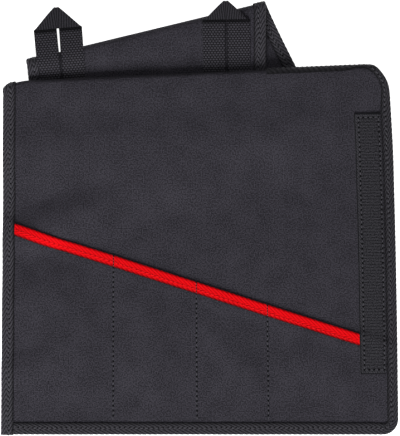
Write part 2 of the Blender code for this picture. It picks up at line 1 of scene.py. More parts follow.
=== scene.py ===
"""The looks of a black tool roll that lies opened and empty, seen from straight above.

Each piece is drawn as flat cut cloth or tape first, with its weave, and is then laid down on the table the
way that the real roll lies. Metres, +Z up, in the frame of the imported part.
"""

import math

import bpy
import numpy as np
from mathutils import Matrix, Vector


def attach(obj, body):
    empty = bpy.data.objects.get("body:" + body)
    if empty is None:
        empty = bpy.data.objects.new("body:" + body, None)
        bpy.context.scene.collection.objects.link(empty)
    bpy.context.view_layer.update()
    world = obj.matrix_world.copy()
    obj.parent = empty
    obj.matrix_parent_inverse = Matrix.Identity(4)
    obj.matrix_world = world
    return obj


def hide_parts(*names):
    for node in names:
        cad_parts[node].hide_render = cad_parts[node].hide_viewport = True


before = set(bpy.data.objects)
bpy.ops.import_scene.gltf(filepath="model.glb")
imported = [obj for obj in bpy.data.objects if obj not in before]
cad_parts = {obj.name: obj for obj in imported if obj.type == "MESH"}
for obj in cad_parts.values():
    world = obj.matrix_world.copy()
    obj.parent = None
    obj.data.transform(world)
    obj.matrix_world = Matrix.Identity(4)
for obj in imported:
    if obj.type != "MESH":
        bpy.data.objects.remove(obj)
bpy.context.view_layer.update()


# Main panel
# One layer of black woven polyester, cut with a header at its top left. It turns over a soft fold, and the
# header lies under it. To the right of the header the bound edge only curls down over the fold.

CLOTH = 0.001
TAPE = 0.001
GAP = 0.0003
SLACK = 0.0002

PANEL_WIDTH = 0.349
LEFT_LEAN = 0.0027
RIGHT_LEAN = 0.007
LEFT_HEIGHT = 0.3095
RIGHT_HEIGHT = 0.3245
TOP_CORNER = 0.033
BOTTOM_CORNER = 0.0135
FOLD_RADIUS = 0.0032
FOLD_DROP = 0.0026
DROP_LENGTH = 0.032
HEADER_DEPTH = 0.045
HEADER_MARGIN = 0.0007
HEADER_FADE = 0.062
TOP_ALLOWANCE = 0.0103
CURL = math.radians(100)
CURL_FADE = 0.04
CURL_FADE_START = 0.006
BINDING_WIDTH = 0.011
BINDING_FADE = 0.022
BEHIND_FADE = 0.045
WEBBING = 0.0012

# Soft swells: place as shares of the panel's width and height, half lengths as shares of its width, turn in
# degrees, and rise as a share of SWELL_RISE
SWELL_RISE = 0.0022
SWELLS = (
    (0.132, 0.605, 0.20, 0.072, 28, 2.4),
    (0.47, 0.70, 0.20, 0.088, -3, 1.8),
    (0.82, 0.855, 0.14, 0.075, 12, 0.7),
    (0.83, 0.55, 0.143, 0.086, 60, 0.4),
    (0.085, 0.40, 0.12, 0.075, 42, 1.0),
    (0.06, 0.19, 0.09, 0.055, 20, 1.1),
    (0.645, 0.11, 0.13, 0.055, 90, 0.6),
    (0.87, 0.16, 0.14, 0.06, 80, 0.5),
)
RIPPLE_RISE = 0.0008
CLOTH_CELL = 0.002
FOLD_CELL = 0.0007

# The top fold's left end, where its stacked layers round off the corner
FOLD_CORNER = 0.0078
FOLD_CORNER_FADE = 0.022
FOLD_SAG = 0.0027
SIDE_BOW = 0.0013
TOP_DRAW = 0.0018
TOP_DRAW_START = 0.72


def ease(share):
    """0 below 0, 1 above 1, and a smooth step between."""
    share = np.clip(share, 0.0, 1.0)
    return share * share * (3 - 2 * share)


def mix(first, second, share):
    return first + (second - first) * share


def place(x, y):
    return np.array((x, y), float)


def left_of(direction):
    return np.stack((-direction[..., 1], direction[..., 0]), -1)


def line_through(first, second):
    """A line of the cutting pattern: a point and a direction of length one."""
    return first, (second - first) / np.linalg.norm(second - first)


def moved(line, distance):
    """The line moved to the left of its direction."""
    return line[0] + left_of(line[1]) * distance, line[1]


def beyond(line, points):
    """How far each point lies to the left of the line."""
    return (points - line[0]) @ left_of(line[1])


def crossing(first, second):
    across = left_of(second[1])
    return first[0] + first[1] * ((second[0] - first[0]) @ across) / (first[1] @ across)


# The layers' heights, and the panel's outer corners where the fold starts to turn
EDGE_INSET = TAPE + GAP
TAPE_OFFSET = CLOTH / 2 + GAP + TAPE / 2
BOUND_HALF = CLOTH / 2 + GAP + TAPE
BACK_LAYER = BOUND_HALF
FRONT_LAYER = BACK_LAYER + 2 * BOUND_HALF + GAP
LOOP_LAYER = CLOTH / 2 + GAP + SLACK + WEBBING / 2
HEADER_LAYER = FRONT_LAYER + LOOP_LAYER + WEBBING / 2 + GAP + CLOTH / 2
FOLD_HEIGHT = HEADER_LAYER + 2 * FOLD_RADIUS
BACK_RISE = BACK_LAYER + BOUND_HALF + GAP
BOTTOM = -(LEFT_HEIGHT + RIGHT_HEIGHT) / 4
LEFT = -PANEL_WIDTH / 2
RIGHT = PANEL_WIDTH / 2
FOLD_START = FOLD_RADIUS + CLOTH / 2
LEFT_FOOT = place(LEFT, BOTTOM)
RIGHT_FOOT = place(RIGHT, BOTTOM)
LEFT_HEAD = place(LEFT + LEFT_LEAN, BOTTOM + LEFT_HEIGHT - FOLD_START)
RIGHT_HEAD = place(RIGHT - RIGHT_LEAN, BOTTOM + RIGHT_HEIGHT - FOLD_START)

LEFT_SIDE = line_through(LEFT_HEAD, LEFT_FOOT)
BOTTOM_SIDE = line_through(LEFT_FOOT, RIGHT_FOOT)
RIGHT_SIDE = line_through(RIGHT_FOOT, RIGHT_HEAD)
FOLD_LINE = line_through(LEFT_HEAD, RIGHT_HEAD)
FOLD_LENGTH = np.linalg.norm(RIGHT_HEAD - LEFT_HEAD)
UPHILL = left_of(FOLD_LINE[1])
TOP_SIDE = (FOLD_LINE[0] + UPHILL * (TOP_ALLOWANCE + EDGE_INSET), -FOLD_LINE[1])
HEADER_END = (FOLD_LINE[0] + UPHILL * (math.pi * FOLD_RADIUS + HEADER_DEPTH), -FOLD_LINE[1])

# The cover's pattern, which the panel rests on: it turns under along COVER_FOLD
COVER_INSET = 0.0215
COVER_WIDTH = 0.2112
COVER_LEFT_LEAN = math.radians(4.9)
COVER_RISE = 0.020
COVER_FOLD_SLOPE = math.radians(13.6)
COVER_FOLD_RADIUS = 0.0044
COVER_LENGTH = 0.083
COVER_LEFT = LEFT + COVER_INSET
COVER_RIGHT = COVER_LEFT + COVER_WIDTH
COVER_HEEL = place(COVER_LEFT, BOTTOM + LEFT_HEIGHT + COVER_RISE)
COVER_CREST = (COVER_HEEL, place(math.cos(COVER_FOLD_SLOPE), math.sin(COVER_FOLD_SLOPE)))
COVER_FOLD = moved(COVER_CREST, -(COVER_FOLD_RADIUS + CLOTH / 2))
COVER_FOLD_END = moved(COVER_FOLD, math.pi * COVER_FOLD_RADIUS)
COVER_SIDE_LEFT = (COVER_HEEL, place(math.sin(COVER_LEFT_LEAN), -math.cos(COVER_LEFT_LEAN)))
COVER_SIDE_RIGHT = (place(COVER_RIGHT, 0), place(0, 1))
COVER_TOP = crossing(COVER_SIDE_RIGHT, COVER_FOLD)[1] + math.pi * COVER_FOLD_RADIUS + COVER_LENGTH
COVER_SIDE_TOP = (place(0, COVER_TOP), place(-1, 0))
HEADER_SIDE = (crossing(FOLD_LINE, (place(COVER_RIGHT + HEADER_MARGIN, 0), place(0, 1))), UPHILL)
HEADER_WIDTH = np.linalg.norm(HEADER_SIDE[0] - LEFT_HEAD)


def turned_under(point):
    """Where a point past the cover's fold comes to lie, seen from above."""
    past = beyond(COVER_FOLD, point)
    outward = left_of(COVER_FOLD[1])
    return point - outward * (2 * past - math.pi * COVER_FOLD_RADIUS)


BACK_CORNERS = [
    turned_under(crossing(side, end))
    for side, end in (
        (COVER_SIDE_LEFT, COVER_FOLD_END),
        (COVER_SIDE_RIGHT, COVER_FOLD_END),
        (COVER_SIDE_RIGHT, COVER_SIDE_TOP),
        (COVER_SIDE_LEFT, COVER_SIDE_TOP),
    )
]
BACK_SIDES = [line_through(*pair) for pair in zip(BACK_CORNERS[1:], BACK_CORNERS[2:] + BACK_CORNERS[:1])]


def panel_place(across, up):
    """Shares of the panel's width and height as places in the flat pattern."""
    across, up = np.asarray(across)[..., None], np.asarray(up)[..., None]
    return mix(mix(LEFT_FOOT, LEFT_HEAD, up), mix(RIGHT_FOOT, RIGHT_HEAD, up), across)


def swells(points):
    """The soft humps of cloth that was rolled up before, and the faint ripples all over it."""
    rise = 0.0
    for across, up, long, short, turn, share in SWELLS:
        away = (points - panel_place(across, up)) / PANEL_WIDTH
        along = place(math.cos(math.radians(turn)), math.sin(math.radians(turn)))
        far = (away @ along / long) ** 2 + (away @ left_of(along) / short) ** 2
        rise = rise + SWELL_RISE * share * np.maximum(0, 1 - far) ** 2
    return rise + RIPPLE_RISE * ripples(points)


RIPPLES = np.random.default_rng(4)
RIPPLE_TURNS = RIPPLES.uniform(0, 2 * math.pi, 14)
RIPPLE_LENGTHS = RIPPLES.uniform(0.022, 0.075, 14)
RIPPLE_STARTS = RIPPLES.uniform(0, 2 * math.pi, 14)


def ripples(points):
    """A soft unevenness from 0 to about 1."""
    total = 0.0
    for turn, length, start in zip(RIPPLE_TURNS, RIPPLE_LENGTHS, RIPPLE_STARTS):
        along = points @ place(math.cos(turn), math.sin(turn))
        total = total + np.sin(2 * math.pi * along / length + start) * length / RIPPLE_LENGTHS.max()
    return np.clip(0.5 + total / 7, 0, 1)


def panel_height(points):
    """The height of the middle of the panel's cloth over the table."""
    along = (points - FOLD_LINE[0]) @ FOLD_LINE[1]
    below = np.maximum(0, -beyond(FOLD_LINE, points))
    behind, free = 1.0, 1.0
    for side in BACK_SIDES:
        behind = behind * (1 - ease(beyond(side, points) / BEHIND_FADE))
    for side in (LEFT_SIDE, BOTTOM_SIDE, RIGHT_SIDE):
        free = free * ease((beyond(side, points) - BINDING_WIDTH) / BINDING_FADE)
    low = CLOTH / 2 + EDGE_INSET * (1 - free) * (1 - behind) + BACK_RISE * behind + swells(points)
    past = ease((along - HEADER_WIDTH) / (FOLD_LENGTH - HEADER_WIDTH))
    straight = TOP_ALLOWANCE + EDGE_INSET - FOLD_RADIUS * CURL
    hanging = FOLD_RADIUS * (1 - math.cos(CURL)) + straight * math.sin(CURL) + GAP
    high = mix(FOLD_HEIGHT, hanging, past) - FOLD_DROP * ease(below / DROP_LENGTH)
    start = mix(HEADER_DEPTH, CURL_FADE_START, past)
    length = mix(HEADER_FADE, HEADER_FADE + HEADER_DEPTH, past)
    return mix(high, low, ease((below - start) / length))


def bent(foot, outward, height, past, radius, most_turn):
    """Points that have gone this far past the start of a fold, which bends down and under."""
    turn = np.minimum(past / radius, most_turn)
    straight = past - radius * turn
    out = radius * np.sin(turn) + straight * np.cos(turn)
    down = radius * (1 - np.cos(turn)) + straight * np.sin(turn)
    spot = foot + out[..., None] * outward
    return np.concatenate((spot, (height - down)[..., None]), -1)


def drawn_down(points):
    """How far the fold's left end is drawn down, so that it rounds off the corner."""
    inward = beyond(LEFT_SIDE, points)
    round_end = 1 - np.clip(inward / FOLD_CORNER, 0.03, 1)
    drop = FOLD_CORNER * (1 - np.sqrt(1 - round_end ** 2)) + FOLD_SAG * (1 - ease(inward / FOLD_CORNER_FADE))
    return drop * ease(1 + beyond(FOLD_LINE, points) / FOLD_CORNER_FADE)


def bowed_out(points):
    """How far the cloth is bowed out to the right, most at the middle of the panel's right side."""
    left, right = beyond(LEFT_SIDE, points), beyond(RIGHT_SIDE, points)
    up = np.clip(beyond(BOTTOM_SIDE, points) / RIGHT_HEIGHT, 0, 1)
    bow = SIDE_BOW * np.sin(math.pi * up) - TOP_DRAW * ease((up - TOP_DRAW_START) / (1 - TOP_DRAW_START))
    return bow * ease(2 * left / (left + right) - 1)


def on_panel(points):
    """The middle of the panel's cloth at these places of the flat pattern."""
    past = np.maximum(0, beyond(FOLD_LINE, points))
    foot = points - past[..., None] * UPHILL
    along = (foot - FOLD_LINE[0]) @ FOLD_LINE[1]
    most_turn = mix(math.pi, CURL, ease((along - HEADER_WIDTH) / CURL_FADE))
    laid = bent(foot, UPHILL, panel_height(foot), past, FOLD_RADIUS, most_turn)
    laid[..., 1] -= drawn_down(points)
    laid[..., 0] += bowed_out(points)
    return laid


def raised(surface, points, offset):
    """Points at this distance over the middle of a laid piece of cloth, along its own normal."""
    nudge = 0.0002
    east, north = place(nudge, 0), place(0, nudge)
    normal = np.cross(surface(points + east) - surface(points - east), surface(points + north) - surface(points - north))
    normal /= np.linalg.norm(normal, axis=-1, keepdims=True)
    return surface(points) + normal * np.asarray(offset)[..., None]


def steps(start, end, cell):
    """Even steps from start to end, about this far apart."""
    return np.linspace(start, end, max(2, round(abs(end - start) / cell) + 1))


def coordinates(piece):
    corners = np.empty(len(piece.data.vertices) * 3, np.float32)
    piece.data.vertices.foreach_get("co", corners)
    return corners.reshape(-1, 3).astype(float)


def move_to(piece, corners):
    piece.data.vertices.foreach_set("co", np.asarray(corners, np.float32).ravel())
    piece.data.update()


def only(piece):
    """Makes this piece the one that operators act on."""
    bpy.ops.object.select_all(action="DESELECT")
    piece.select_set(True)
    bpy.context.view_layer.objects.active = piece


def flat_grid(name, columns, rows, pattern):
    """A grid of flat cloth. pattern gives the place of each column and row."""
    bpy.ops.object.select_all(action="DESELECT")
    bpy.ops.mesh.primitive_grid_add(
        x_subdivisions=len(columns) - 1, y_subdivisions=len(rows) - 1, size=1, location=(0, 0, 0)
    )
    piece = bpy.context.active_object
    piece.name = name
    shares = coordinates(piece)[:, :2] + 0.5
    column = np.rint(shares[:, 0] * (len(columns) - 1)).astype(int)
    row = np.rint(shares[:, 1] * (len(rows) - 1)).astype(int)
    flat = pattern(np.asarray(columns)[column], np.asarray(rows)[row])
    move_to(piece, np.concatenate((flat, np.zeros((len(flat), 1))), 1))
    return piece


def cut_away(piece, lines, where=None):
    """Cuts off the flat cloth to the right of any of the lines, or only where it is right of one more line."""
    only(piece)
    bpy.ops.object.mode_set(mode="EDIT")
    for start, direction in lines:
        bpy.ops.mesh.select_all(action="SELECT")
        bpy.ops.mesh.bisect(plane_co=(*start, 0), plane_no=(*left_of(direction), 0), threshold=1e-7)
    bpy.ops.mesh.select_all(action="DESELECT")
    bpy.ops.object.mode_set(mode="OBJECT")
    centres = np.array([face.center[:2] for face in piece.data.polygons])
    outside = np.zeros(len(centres), bool)
    for line in lines:
        outside |= beyond(line, centres) < 0
    if where is not None:
        outside &= beyond(where, centres) < 0
    piece.data.polygons.foreach_set("select", outside)
    bpy.ops.object.mode_set(mode="EDIT")
    bpy.ops.mesh.select_mode(type="FACE")
    bpy.ops.mesh.delete(type="FACE")
    bpy.ops.object.mode_set(mode="OBJECT")


def keep_pattern(piece, flat):
    """Writes each corner's place in the flat pattern to the piece's UV map, in metres."""
    corners = np.empty(len(piece.data.loops), int)
    piece.data.loops.foreach_get("vertex_index", corners)
    piece.data.uv_layers[0].data.foreach_set("uv", flat[corners].astype(np.float32).ravel())


def give_wall(piece, thickness, material, reverse=None):
    """Gives a laid sheet its thickness on both sides, and its finish. The reverse may have its own."""
    only(piece)
    piece.data.materials.append(material)
    wall = piece.modifiers.new("wall", "SOLIDIFY")
    if reverse:
        piece.data.materials.append(reverse)
        wall.material_offset = 1
    wall.thickness = thickness
    wall.offset = 0
    wall.use_even_offset = True
    wall.use_quality_normals = True
    bpy.ops.object.modifier_apply(modifier=wall.name)
    bpy.ops.object.shade_smooth_by_angle(angle=math.radians(50))


def corner_arc(first, second, radius, inset, count):
    """The round corner between two edges of a pattern that runs anticlockwise: its points and inward directions."""
    centre = crossing(moved(first, radius), moved(second, radius))
    outward = -left_of(first[1])
    start = math.atan2(outward[1], outward[0])
    turn = math.atan2(first[1][0] * second[1][1] - first[1][1] * second[1][0], first[1] @ second[1])
    angles = start + turn * np.linspace(0, 1, count + 1)
    spokes = np.stack((np.cos(angles), np.sin(angles)), -1)
    return centre + spokes * (radius - inset), -spokes


def corner_cuts(first, second, radius, inset):
    """The straight cuts that round off a corner."""
    points, _ = corner_arc(first, second, radius, inset, 6)
    return [line_through(*pair) for pair in zip(points, points[1:])]


# Black woven cloth: the threads run along the pattern, and their uneven twist gives it a fine speckle
WEAVE_PITCH = 0.0011
SPECKLE = 0.0011
BLACK_DARK = (0.0083, 0.0076, 0.0108)
BLACK_LIGHT = (0.0435, 0.0405, 0.052)


def new_finish(name, colour, roughness, sheen, gloss=0.12):
    material = bpy.data.materials.new(name)
    material.use_nodes = True
    shader = material.node_tree.nodes["Principled BSDF"]
    shader.inputs["Base Color"].default_value = (*colour, 1)
    shader.inputs["Roughness"].default_value = roughness
    shader.inputs["Specular IOR Level"].default_value = gloss
    shader.inputs["Sheen Weight"].default_value = sheen
    shader.inputs["Sheen Roughness"].default_value = 0.5
    return material


def add_node(material, kind, **values):
    """A node with its settings and input values, and the links that are given as sockets."""
    made = material.node_tree.nodes.new(kind)
    for name, value in values.items():
        socket = made.inputs.get(name.replace("_", " ")) if name[0].isupper() else None
        if socket is None:
            setattr(made, name, value)
        elif isinstance(value, bpy.types.NodeSocket):
            material.node_tree.links.new(value, socket)
        else:
            socket.default_value = value
    return made


def calc(material, operation, *values):
    """A Math node's result. Each value is a number or a socket."""
    made = material.node_tree.nodes.new("ShaderNodeMath")
    made.operation = operation
    for socket, value in zip(made.inputs, values):
        if isinstance(value, bpy.types.NodeSocket):
            material.node_tree.links.new(value, socket)
        else:
            socket.default_value = value
    return made.outputs[0]


def mixed(material, share, first, second):
    """The first value where the share is 0 and the second where it is 1."""
    made = add_node(material, "ShaderNodeMix", data_type="FLOAT", clamp_factor=True)
    for socket, value in zip(made.inputs, (share, None, first, second)):
        if isinstance(value, bpy.types.NodeSocket):
            material.node_tree.links.new(value, socket)
        elif value is not None:
            socket.default_value = value
    return made.outputs[0]


def pattern_place(material):
    """The piece's own UV map, in metres, as its two parts."""
    uv = add_node(material, "ShaderNodeUVMap")
    parts = add_node(material, "ShaderNodeSeparateXYZ")
    material.node_tree.links.new(uv.outputs[0], parts.inputs[0])
    return uv.outputs[0], parts.outputs[0], parts.outputs[1]


def grains(material, place_socket, size, detail=2.0):
    """Noise from 0 to 1 with lumps of about this size."""
    made = add_node(material, "ShaderNodeTexNoise", Vector=place_socket, Scale=1 / size, Detail=detail)
    return made.outputs[0]


def threads(material, along, pitch):
    """Rounded threads side by side, from 0 between two of them to 1 on top."""
    return calc(material, "ABSOLUTE", calc(material, "SINE", calc(material, "MULTIPLY", along, math.pi / pitch)))


def colour_by(material, value, dark, light):
    ramp = add_node(material, "ShaderNodeMix", data_type="RGBA", clamp_factor=True)
    material.node_tree.links.new(value, ramp.inputs[0])
    ramp.inputs[6].default_value = (*dark, 1)
    ramp.inputs[7].default_value = (*light, 1)
    return ramp.outputs[2]


def set_surface(material, colour, height, depth):
    """Connects a finish's colour and its bump, whose relief is this deep."""
    shader = material.node_tree.nodes["Principled BSDF"]
    material.node_tree.links.new(colour, shader.inputs["Base Color"])
    bump = add_node(material, "ShaderNodeBump", Height=height, Distance=depth, Strength=1.0)
    material.node_tree.links.new(bump.outputs[0], shader.inputs["Normal"])


def spread(material, value, share):
    """A noise's swing about its middle, this many times as strong."""
    return calc(material, "MULTIPLY", calc(material, "SUBTRACT", value, 0.5), share)


def cloth_finish(name, dark, light):
    """Plain-woven cloth: warp and weft pass over each other in turn."""
    material = new_finish(name, light, 0.75, 0.04)
    uv, u, v = pattern_place(material)
    warp = threads(material, u, WEAVE_PITCH)
    weft = threads(material, v, WEAVE_PITCH)
    turn = calc(material, "SINE", calc(material, "MULTIPLY", u, math.pi / WEAVE_PITCH))
    turn = calc(material, "MULTIPLY", turn, calc(material, "SINE", calc(material, "MULTIPLY", v, math.pi / WEAVE_PITCH)))
    over = calc(material, "GREATER_THAN", turn, 0.0)
    woven = mixed(material, over, weft, warp)
    lumps = grains(material, uv, SPECKLE, 1.0)
    patches = grains(material, uv, 0.02, 2.0)
    shade = calc(material, "ADD", spread(material, lumps, 3.0), spread(material, patches, 0.6))
    shade = calc(material, "ADD", calc(material, "ADD", shade, spread(material, woven, 0.25)), 0.46)
    height = calc(material, "ADD", calc(material, "MULTIPLY", woven, 0.6), calc(material, "MULTIPLY", lumps, 0.6))
    set_surface(material, colour_by(material, shade, dark, light), height, 0.0002)
    return material


black_cloth = cloth_finish("black_cloth", BLACK_DARK, BLACK_LIGHT)

panel_columns = steps(0, 1, CLOTH_CELL / PANEL_WIDTH)
fold_share = FOLD_CELL / LEFT_HEIGHT
above = (math.pi * FOLD_RADIUS + 0.001) / LEFT_HEIGHT
panel_rows = np.concatenate((
    steps(0, 0.975, CLOTH_CELL / LEFT_HEIGHT),
    steps(0.975, 1 + above, fold_share)[1:],
    steps(1 + above, 1 + (HEADER_DEPTH + 0.02) / LEFT_HEIGHT, CLOTH_CELL / LEFT_HEIGHT)[1:],
))
panel = flat_grid("panel_cloth", panel_columns, panel_rows, panel_place)
cut_away(panel, [moved(LEFT_SIDE, EDGE_INSET), moved(BOTTOM_SIDE, EDGE_INSET), moved(RIGHT_SIDE, EDGE_INSET), HEADER_END]
         + corner_cuts(BOTTOM_SIDE, RIGHT_SIDE, BOTTOM_CORNER, EDGE_INSET))
cut_away(panel, [moved(TOP_SIDE, EDGE_INSET)] + corner_cuts(RIGHT_SIDE, TOP_SIDE, TOP_CORNER, EDGE_INSET), HEADER_SIDE)
flat = coordinates(panel)[:, :2]
keep_pattern(panel, flat)
move_to(panel, on_panel(flat))
give_wall(panel, CLOTH, black_cloth)
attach(panel, "root")
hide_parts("panel")


# Pockets
# A second layer of the same cloth, sewn down along the panel's edges and three seams, so that it swells a
# little between them. Its slanting upper edge is bound and forms the four pockets' mouths.

MOUTH_LEFT = 0.1893
MOUTH_RIGHT = 0.0773
MOUTH_TAPE_WIDTH = 0.010
MOUTH_FADE = 0.009
COVERED_FADE = 0.008
POCKET_SWELL = 0.0034
MOUTH_SHARE = 0.05
MOUTH_LIFT = 0.0006
MOUTH_REACH = 0.055
POCKET_FLOOR_FADE = 0.06
POCKET_BASE = CLOTH + GAP
MOUTH_TAPE_OFFSET = CLOTH / 2 + TAPE * 0.45
EDGE_BINDING_WIDTH = 0.0095
STRIP_WIDTH = 0.0228
STRIP_BOTTOM = 0.167
STRIP_TOP = 0.882
STRIP_GROOVE = 0.0008

# Where each pocket starts as a share of the panel's width, where it is fullest as a share of its own, and
# how full it is as a share of POCKET_SWELL
POCKETS = (
    (0.034, 0.46, 1.0),
    (0.283, 0.42, 0.97),
    (0.494, 0.55, 0.97),
    (0.673, 0.58, 1.0),
)

MOUTH_OUTER = line_through(place(LEFT, BOTTOM + MOUTH_LEFT), place(RIGHT, BOTTOM + MOUTH_RIGHT))
MOUTH_LINE = moved(MOUTH_OUTER, -EDGE_INSET)
STRIP_RIGHT = moved(RIGHT_SIDE, EDGE_BINDING_WIDTH + STRIP_GROOVE)
STRIP_LEFT = moved(STRIP_RIGHT, STRIP_WIDTH)


def share_across(points):
    """The share of the panel's width at each place."""
    left, right = beyond(LEFT_SIDE, points), beyond(RIGHT_SIDE, points)
    return left / (left + right)


def strip_share(points):
    """The share of the panel's width where the fastener strip starts, level with each place."""
    start, direction = STRIP_LEFT
    x = start[0] + (points[..., 1] - start[1]) * direction[0] / direction[1]
    return share_across(np.stack((x, points[..., 1]), -1))


def pocket_swell(points):
    """How far a pocket stands off the panel between its two seams."""
    share = share_across(points)
    above = ease((beyond(BOTTOM_SIDE, points) - BINDING_WIDTH) / POCKET_FLOOR_FADE)
    ends = [pocket[0] for pocket in POCKETS[1:]] + [strip_share(points)]
    rise = 0.0
    for (start, crest, swell), end in zip(POCKETS, ends):
        within = np.clip((share - start) / (end - start), 0, 1)
        fullness = np.sin(math.pi * within ** (math.log(0.5) / math.log(crest))) ** 2
        rise = rise + POCKET_SWELL * swell * fullness * above
    return rise * mix(MOUTH_SHARE, 1, ease(-beyond(MOUTH_OUTER, points) / MOUTH_REACH))


def pocket_offset(points):
    """How far the middle of the pocket cloth lies over the middle of the panel's."""
    below = -beyond(MOUTH_LINE, points)
    inside = 1 - ease((BINDING_WIDTH - beyond(LEFT_SIDE, points)) / MOUTH_FADE)
    inside = inside * (1 - ease(-beyond(STRIP_LEFT, points) / MOUTH_FADE))
    taped = inside * (1 - ease((below - MOUTH_TAPE_WIDTH) / MOUTH_FADE))
    return POCKET_BASE + MOUTH_LIFT * taped + pocket_swell(points)


def top_cloth(points):
    """How far the uppermost cloth lies over the panel's, under a binding or the fastener strip."""
    over = beyond(MOUTH_LINE, points)
    edge = points - np.maximum(0, over)[..., None] * left_of(MOUTH_LINE[1])
    return pocket_offset(edge) * (1 - ease((over - GAP) / COVERED_FADE))


def on_pockets(points):
    return raised(on_panel, points, pocket_offset(points))


def pocket_place(across, up):
    """A share of the panel's width, and a share of the way from the bottom up to the mouth there."""
    low = beyond(MOUTH_LINE, panel_place(across, 0 * across))
    high = beyond(MOUTH_LINE, panel_place(across, 0 * across + 1))
    return panel_place(across, up * low / (low - high))


seams = [0.004] + [pocket[0] for pocket in POCKETS] + [0.885, 0.996]
pocket_columns = np.concatenate([[0.004]] + [
    steps(start, end, CLOTH_CELL / PANEL_WIDTH)[1:] for start, end in zip(seams, seams[1:])
])
pockets = flat_grid("pockets_cloth", pocket_columns, steps(0, 1, CLOTH_CELL / MOUTH_LEFT), pocket_place)
cut_away(pockets, [moved(LEFT_SIDE, EDGE_INSET), moved(BOTTOM_SIDE, EDGE_INSET), moved(RIGHT_SIDE, EDGE_INSET)]
         + corner_cuts(BOTTOM_SIDE, RIGHT_SIDE, BOTTOM_CORNER, EDGE_INSET))
flat = coordinates(pockets)[:, :2]
keep_pattern(pockets, flat)
move_to(pockets, on_pockets(flat))
give_wall(pockets, CLOTH, black_cloth)
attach(pockets, "root")
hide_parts("pocket_cloth")


# Bindings of the panel
# Herringbone tape, 22 mm wide, folded in two round the raw edges and sewn through. One length runs down the
# left side, over the end of the other, which runs along the bottom, up the right side and along the top.

RIB_PERIOD = 0.0047
RIB_STEEPNESS = 1.96
RIB_TURN = 0.0049
RIB_BACK = 0.0025
RIB_RELIEF = 0.0003
NOSE = 0.0012
TAPE_STEP = 0.0009
TAPE_CELL = 0.0006
HIDDEN_CELL = 0.0022
TAPE_WALL = TAPE * 0.8
BOTTOM_BINDING_WIDTH = 0.0106
TOP_NARROW = 0.68
TOP_WIDE = 1.12
TOP_NARROW_START = 0.122
TOP_NARROW_FADE = 0.035


def edge_route(start, sides, radii, end):
    """A route along the edges of a pattern, round their corners: points, inward directions, running lengths."""
    points, inwards, here = [], [], start
    for number, side in enumerate(sides):
        last = number == len(sides) - 1
        arc = None if last else corner_arc(side, sides[number + 1], radii[number], 0, 14)
        stop = end if last else arc[0][0]
        run = mix(here, stop, np.linspace(0, 1, max(2, round(np.linalg.norm(stop - here) / TAPE_STEP)) + 1)[:, None])
        points.append(run[:-1] if not last else run)
        inwards.append(np.broadcast_to(left_of(side[1]), points[-1].shape))
        if not last:
            points.append(arc[0][:-1])
            inwards.append(arc[1][:-1])
            here = arc[0][-1]
    points, inwards = np.concatenate(points), np.concatenate(inwards)
    lengths = np.concatenate(([0], np.cumsum(np.linalg.norm(np.diff(points, axis=0), axis=1))))
    return points, inwards, lengths


def tape_section(width, fine_below):
    """Stations across a folded tape, from its lower edge round the nose to its upper edge: inset, level, run."""
    turn = np.linspace(-math.pi / 2, math.pi / 2, 7)
    upper = steps(TAPE / 2 + NOSE, width, TAPE_CELL)[1:]
    lower = upper[::-1] if fine_below else steps(TAPE / 2 + NOSE, width, HIDDEN_CELL)[1:][::-1]
    inset = np.concatenate((lower, TAPE / 2 + NOSE * (1 - np.cos(turn)), upper))
    level = np.concatenate((0 * lower, 0.5 + 0.5 * np.sin(turn), 0 * upper + 1))
    run = np.concatenate((-lower, turn / (math.pi / 2) * (TAPE / 2 + NOSE), upper))
    return inset, level, run


def herringbone(along, run):
    """The height of a tape's ribs from 0 to 1. They turn back twice on their way across a leg."""
    across = np.abs(run)
    across = across - 2 * np.clip(across - RIB_TURN, 0, RIB_BACK)
    return np.abs(np.sin(math.pi * (along + RIB_STEEPNESS * across) / RIB_PERIOD)) ** 0.7


def folded_tape(name, route, width, lay, material, drawn_in=1.0, ends=None, fine_below=False):
    """A tape folded round an edge. lay gives the place of a point of the pattern at a level from 0 to 1.

    drawn_in is the share of its width at each point of the route, and ends are the two lines that cut it off.
    """
    points, inwards, lengths = route
    inset, level, run = tape_section(width, fine_below)
    drawn_in = np.broadcast_to(drawn_in, len(points))
    chosen = {}

    def pattern(number, station):
        number, station = number.astype(int), station.astype(int)
        leg = (width * drawn_in[number] - NOSE) / (width - NOSE)
        reach = inset[station] + np.maximum(0, inset[station] - NOSE) * (leg - 1)
        flat = points[number] + inwards[number] * reach[:, None]
        chosen["along"] = lengths[number]
        if ends:
            way = -left_of(inwards[0])
            starts, stops = (
                np.array([crossing((points[0] + inwards[0] * step, way), line) for step in inset]) for line in ends
            )
            flat = mix(starts[station], stops[station], (number / (len(points) - 1))[:, None])
            chosen["along"] = (flat - points[0]) @ way
        chosen["flat"], chosen["station"] = flat, station
        return flat

    piece = flat_grid(name, np.arange(len(points)), np.arange(len(inset)), pattern)
    flat, station, along = chosen["flat"], chosen["station"], chosen["along"]
    keep_pattern(piece, np.stack((along, run[station]), -1))
    move_to(piece, lay(flat, level[station]))
    normals = np.empty(len(piece.data.vertices) * 3, np.float32)
    piece.data.vertex_normals.foreach_get("vector", normals)
    relief = RIB_RELIEF * (herringbone(along, run[station]) - 0.8)
    move_to(piece, coordinates(piece) + normals.reshape(-1, 3) * relief[:, None])
    give_wall(piece, TAPE_WALL, material)
    return piece


def tape_on_panel(points, level):
    """Tape round the panel's edge, over the pocket cloth where that is bound in too."""
    return raised(on_panel, points, mix(-TAPE_OFFSET, top_cloth(points) + TAPE_OFFSET, level))


# Painted shade: the near black that each tape's colour runs to at its inner edge
PAINTED_GROOVE_SHADE = (0.003, 0.003, 0.004)


